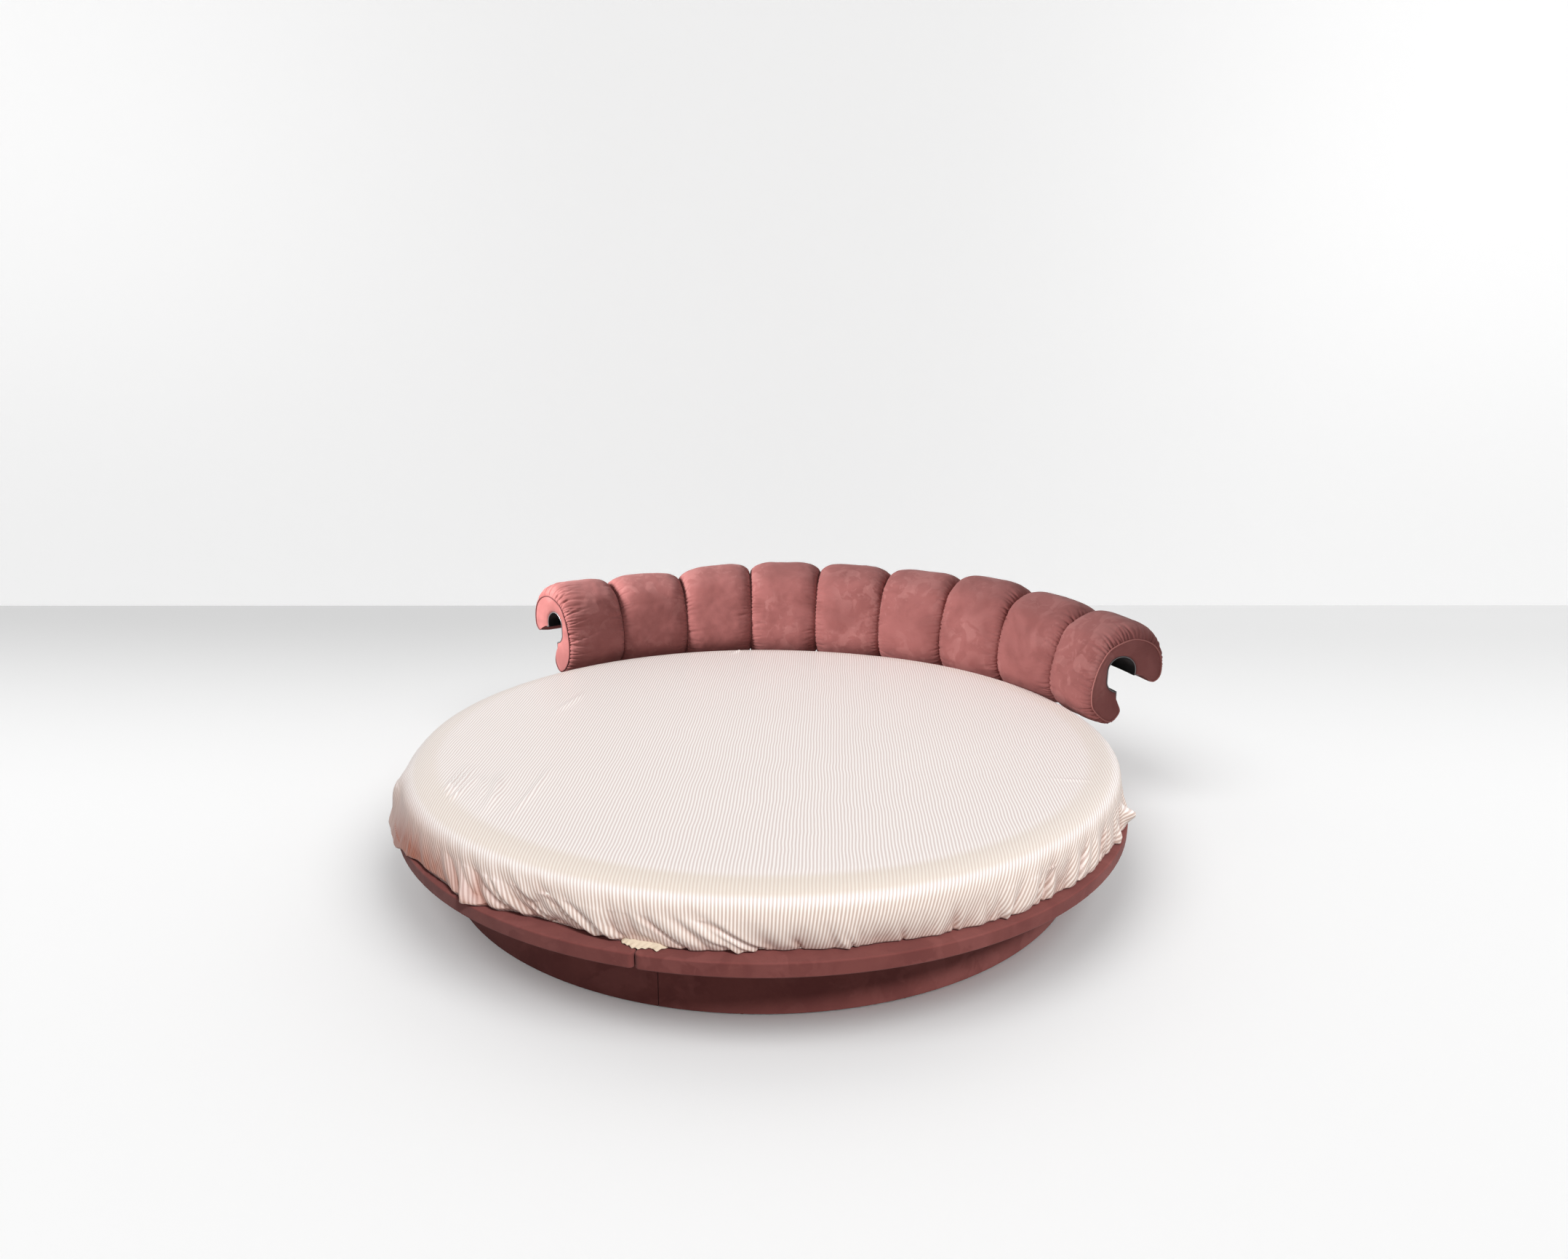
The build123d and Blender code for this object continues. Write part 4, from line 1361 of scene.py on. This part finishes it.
def forCamera(tree, colour, bounce):
    # The colour as the camera sees it, and a darker grey for the light that it throws back
    path = tree.nodes.new("ShaderNodeLightPath")
    return addMix(tree, path.outputs["Is Camera Ray"], (bounce, bounce, bounce), colour)


def cameraAxes(tree):
    # Places on the stage as the camera sees the floor: X to the right, Y ahead
    spot = tree.nodes.new("ShaderNodeTexCoord")
    turned = tree.nodes.new("ShaderNodeVectorRotate")
    setInputs(turned, {"Angle": math.radians(-photoView["yaw"])})
    tree.links.new(spot.outputs["Object"], turned.inputs["Vector"])
    return splitVector(tree, turned.outputs["Vector"])


def paint(tree, shader, colour, grain, look):
    share, scale = grain
    colour = addMix(tree, share, colour, addNoise(tree, place(tree), *scale), "OVERLAY")
    tree.links.new(forCamera(tree, colour, look["bounce"]), shader.inputs["Base Color"])
    setInputs(shader, look["surface"])


def makeStage(look):
    centre = Vector(photoView["place"]) * Vector((1, 1, 0))
    tilt = math.radians(look["tilt"])
    side = cameraSpot(math.cos(tilt), math.sin(tilt)) * look["half"]
    wallLine = centre + cameraSpot(0, look["wallDistance"])
    floorTone, floorFarShade, wallTone = (fromScreen(*look[key]) for key in ("floorTone", "floorFarShade", "wallTone"))
    floorPaint, tree, shader = newMaterial("floorPaint")
    axes = cameraAxes(tree)
    back, left = addRange(tree, axes["Y"], *look["farRange"]), addRange(tree, axes["X"], *look["leftRange"])
    # Painted shade: the floor darkens towards the far left
    colour = addMix(tree, addMath(tree, "MULTIPLY", back, left), floorTone, floorFarShade)
    paint(tree, shader, colour, look["floorGrain"], look)
    wallPaint, tree, shader = newMaterial("wallPaint")
    paint(tree, shader, wallTone, look["wallGrain"], look)
    axes = cameraAxes(tree)
    away = addMath(tree, "ABSOLUTE", axes["X"])
    sides = addRange(tree, away, *look["sideRange"], 0, look["wallSides"])
    high = addRange(tree, axes["Z"], *look["highRange"])
    right = addRange(tree, axes["X"], *look["rightRange"], look["wallGlow"], look["wallGlow"] + look["wallRight"])
    glow = addMath(tree, "ADD", addMath(tree, "MULTIPLY", sides, high), right)
    tree.links.new(glow, shader.inputs["Emission Strength"])
    setInputs(shader, {"Emission Color": (1, 1, 1, 1)})
    first, last = wallLine - side, wallLine + side
    pieces = []
    for name, reach, material in (("floor", cameraSpot(0, -look["half"]), floorPaint),
                                  ("backdrop", Vector((0, 0, look["tall"])), wallPaint)):
        pieces.append(addStage(name, (first, last, last + reach, first + reach), material))
    return pieces


def makeSun(name, look, receivers):
    data = bpy.data.lights.new(name, "SUN")
    data.energy = look["strength"]
    data.angle = math.radians(look["size"])
    sun = addObject(name, data)
    rise = math.radians(look["rise"])
    source = cameraSpot(*look["from"]).normalized() * math.cos(rise) + Vector((0, 0, math.sin(rise)))
    sun.rotation_euler = source.to_track_quat("Z", "Y").to_euler()
    lightOnly(sun, receivers)


def makeLamp(name, look, receivers):
    data = bpy.data.lights.new(name, "AREA")
    data.shape = "DISK"
    data.size = look["size"]
    data.energy = look["power"]
    lamp = addObject(name, data)
    lamp.location = look["place"]
    lamp.rotation_euler = (Vector(look["place"]) - Vector(look["aim"])).to_track_quat("Z", "Y").to_euler()
    lamp.visible_camera = False
    lightOnly(lamp, receivers)


def lightOnly(light, receivers):
    lit = bpy.data.collections.new(light.name + "Receivers")
    for piece in receivers:
        lit.objects.link(piece)
    light.light_linking.receiver_collection = lit


stagePieces = makeStage(studio)
headboardWords = ("pad", "piping", "shellLip", "headboard_", "shell_", "rail_", "bracket_")
meshes = [piece for piece in bpy.context.scene.objects if piece.type == "MESH" and piece not in stagePieces]
headboardPieces = [piece for piece in meshes if piece.name.startswith(headboardWords)]
makeLamp("headboardLamp", headboardLamp, headboardPieces)
bedWords = ("fittedSheet", "innerHem", "mattress", "sheet_")
bedPieces = [piece for piece in meshes if piece.name.startswith(bedWords)]
basePieces = [piece for piece in meshes if piece not in headboardPieces and piece not in bedPieces]
for name, receivers in (("bedLight", bedPieces), ("bedFill", bedPieces), ("baseLight", basePieces),
                        ("floorLeft", stagePieces), ("floorRight", stagePieces)):
    makeSun(name, suns[name], receivers)

world = bpy.data.worlds.new("studio")
bpy.context.scene.world = world
world.use_nodes = True
background = world.node_tree.nodes["Background"]
seen = forCamera(world.node_tree, fromScreen(*studio["wallTone"]), studio["skyStrength"])
world.node_tree.links.new(seen, background.inputs["Color"])
setInputs(background, {"Strength": 1.0})
print("stage and light ready")
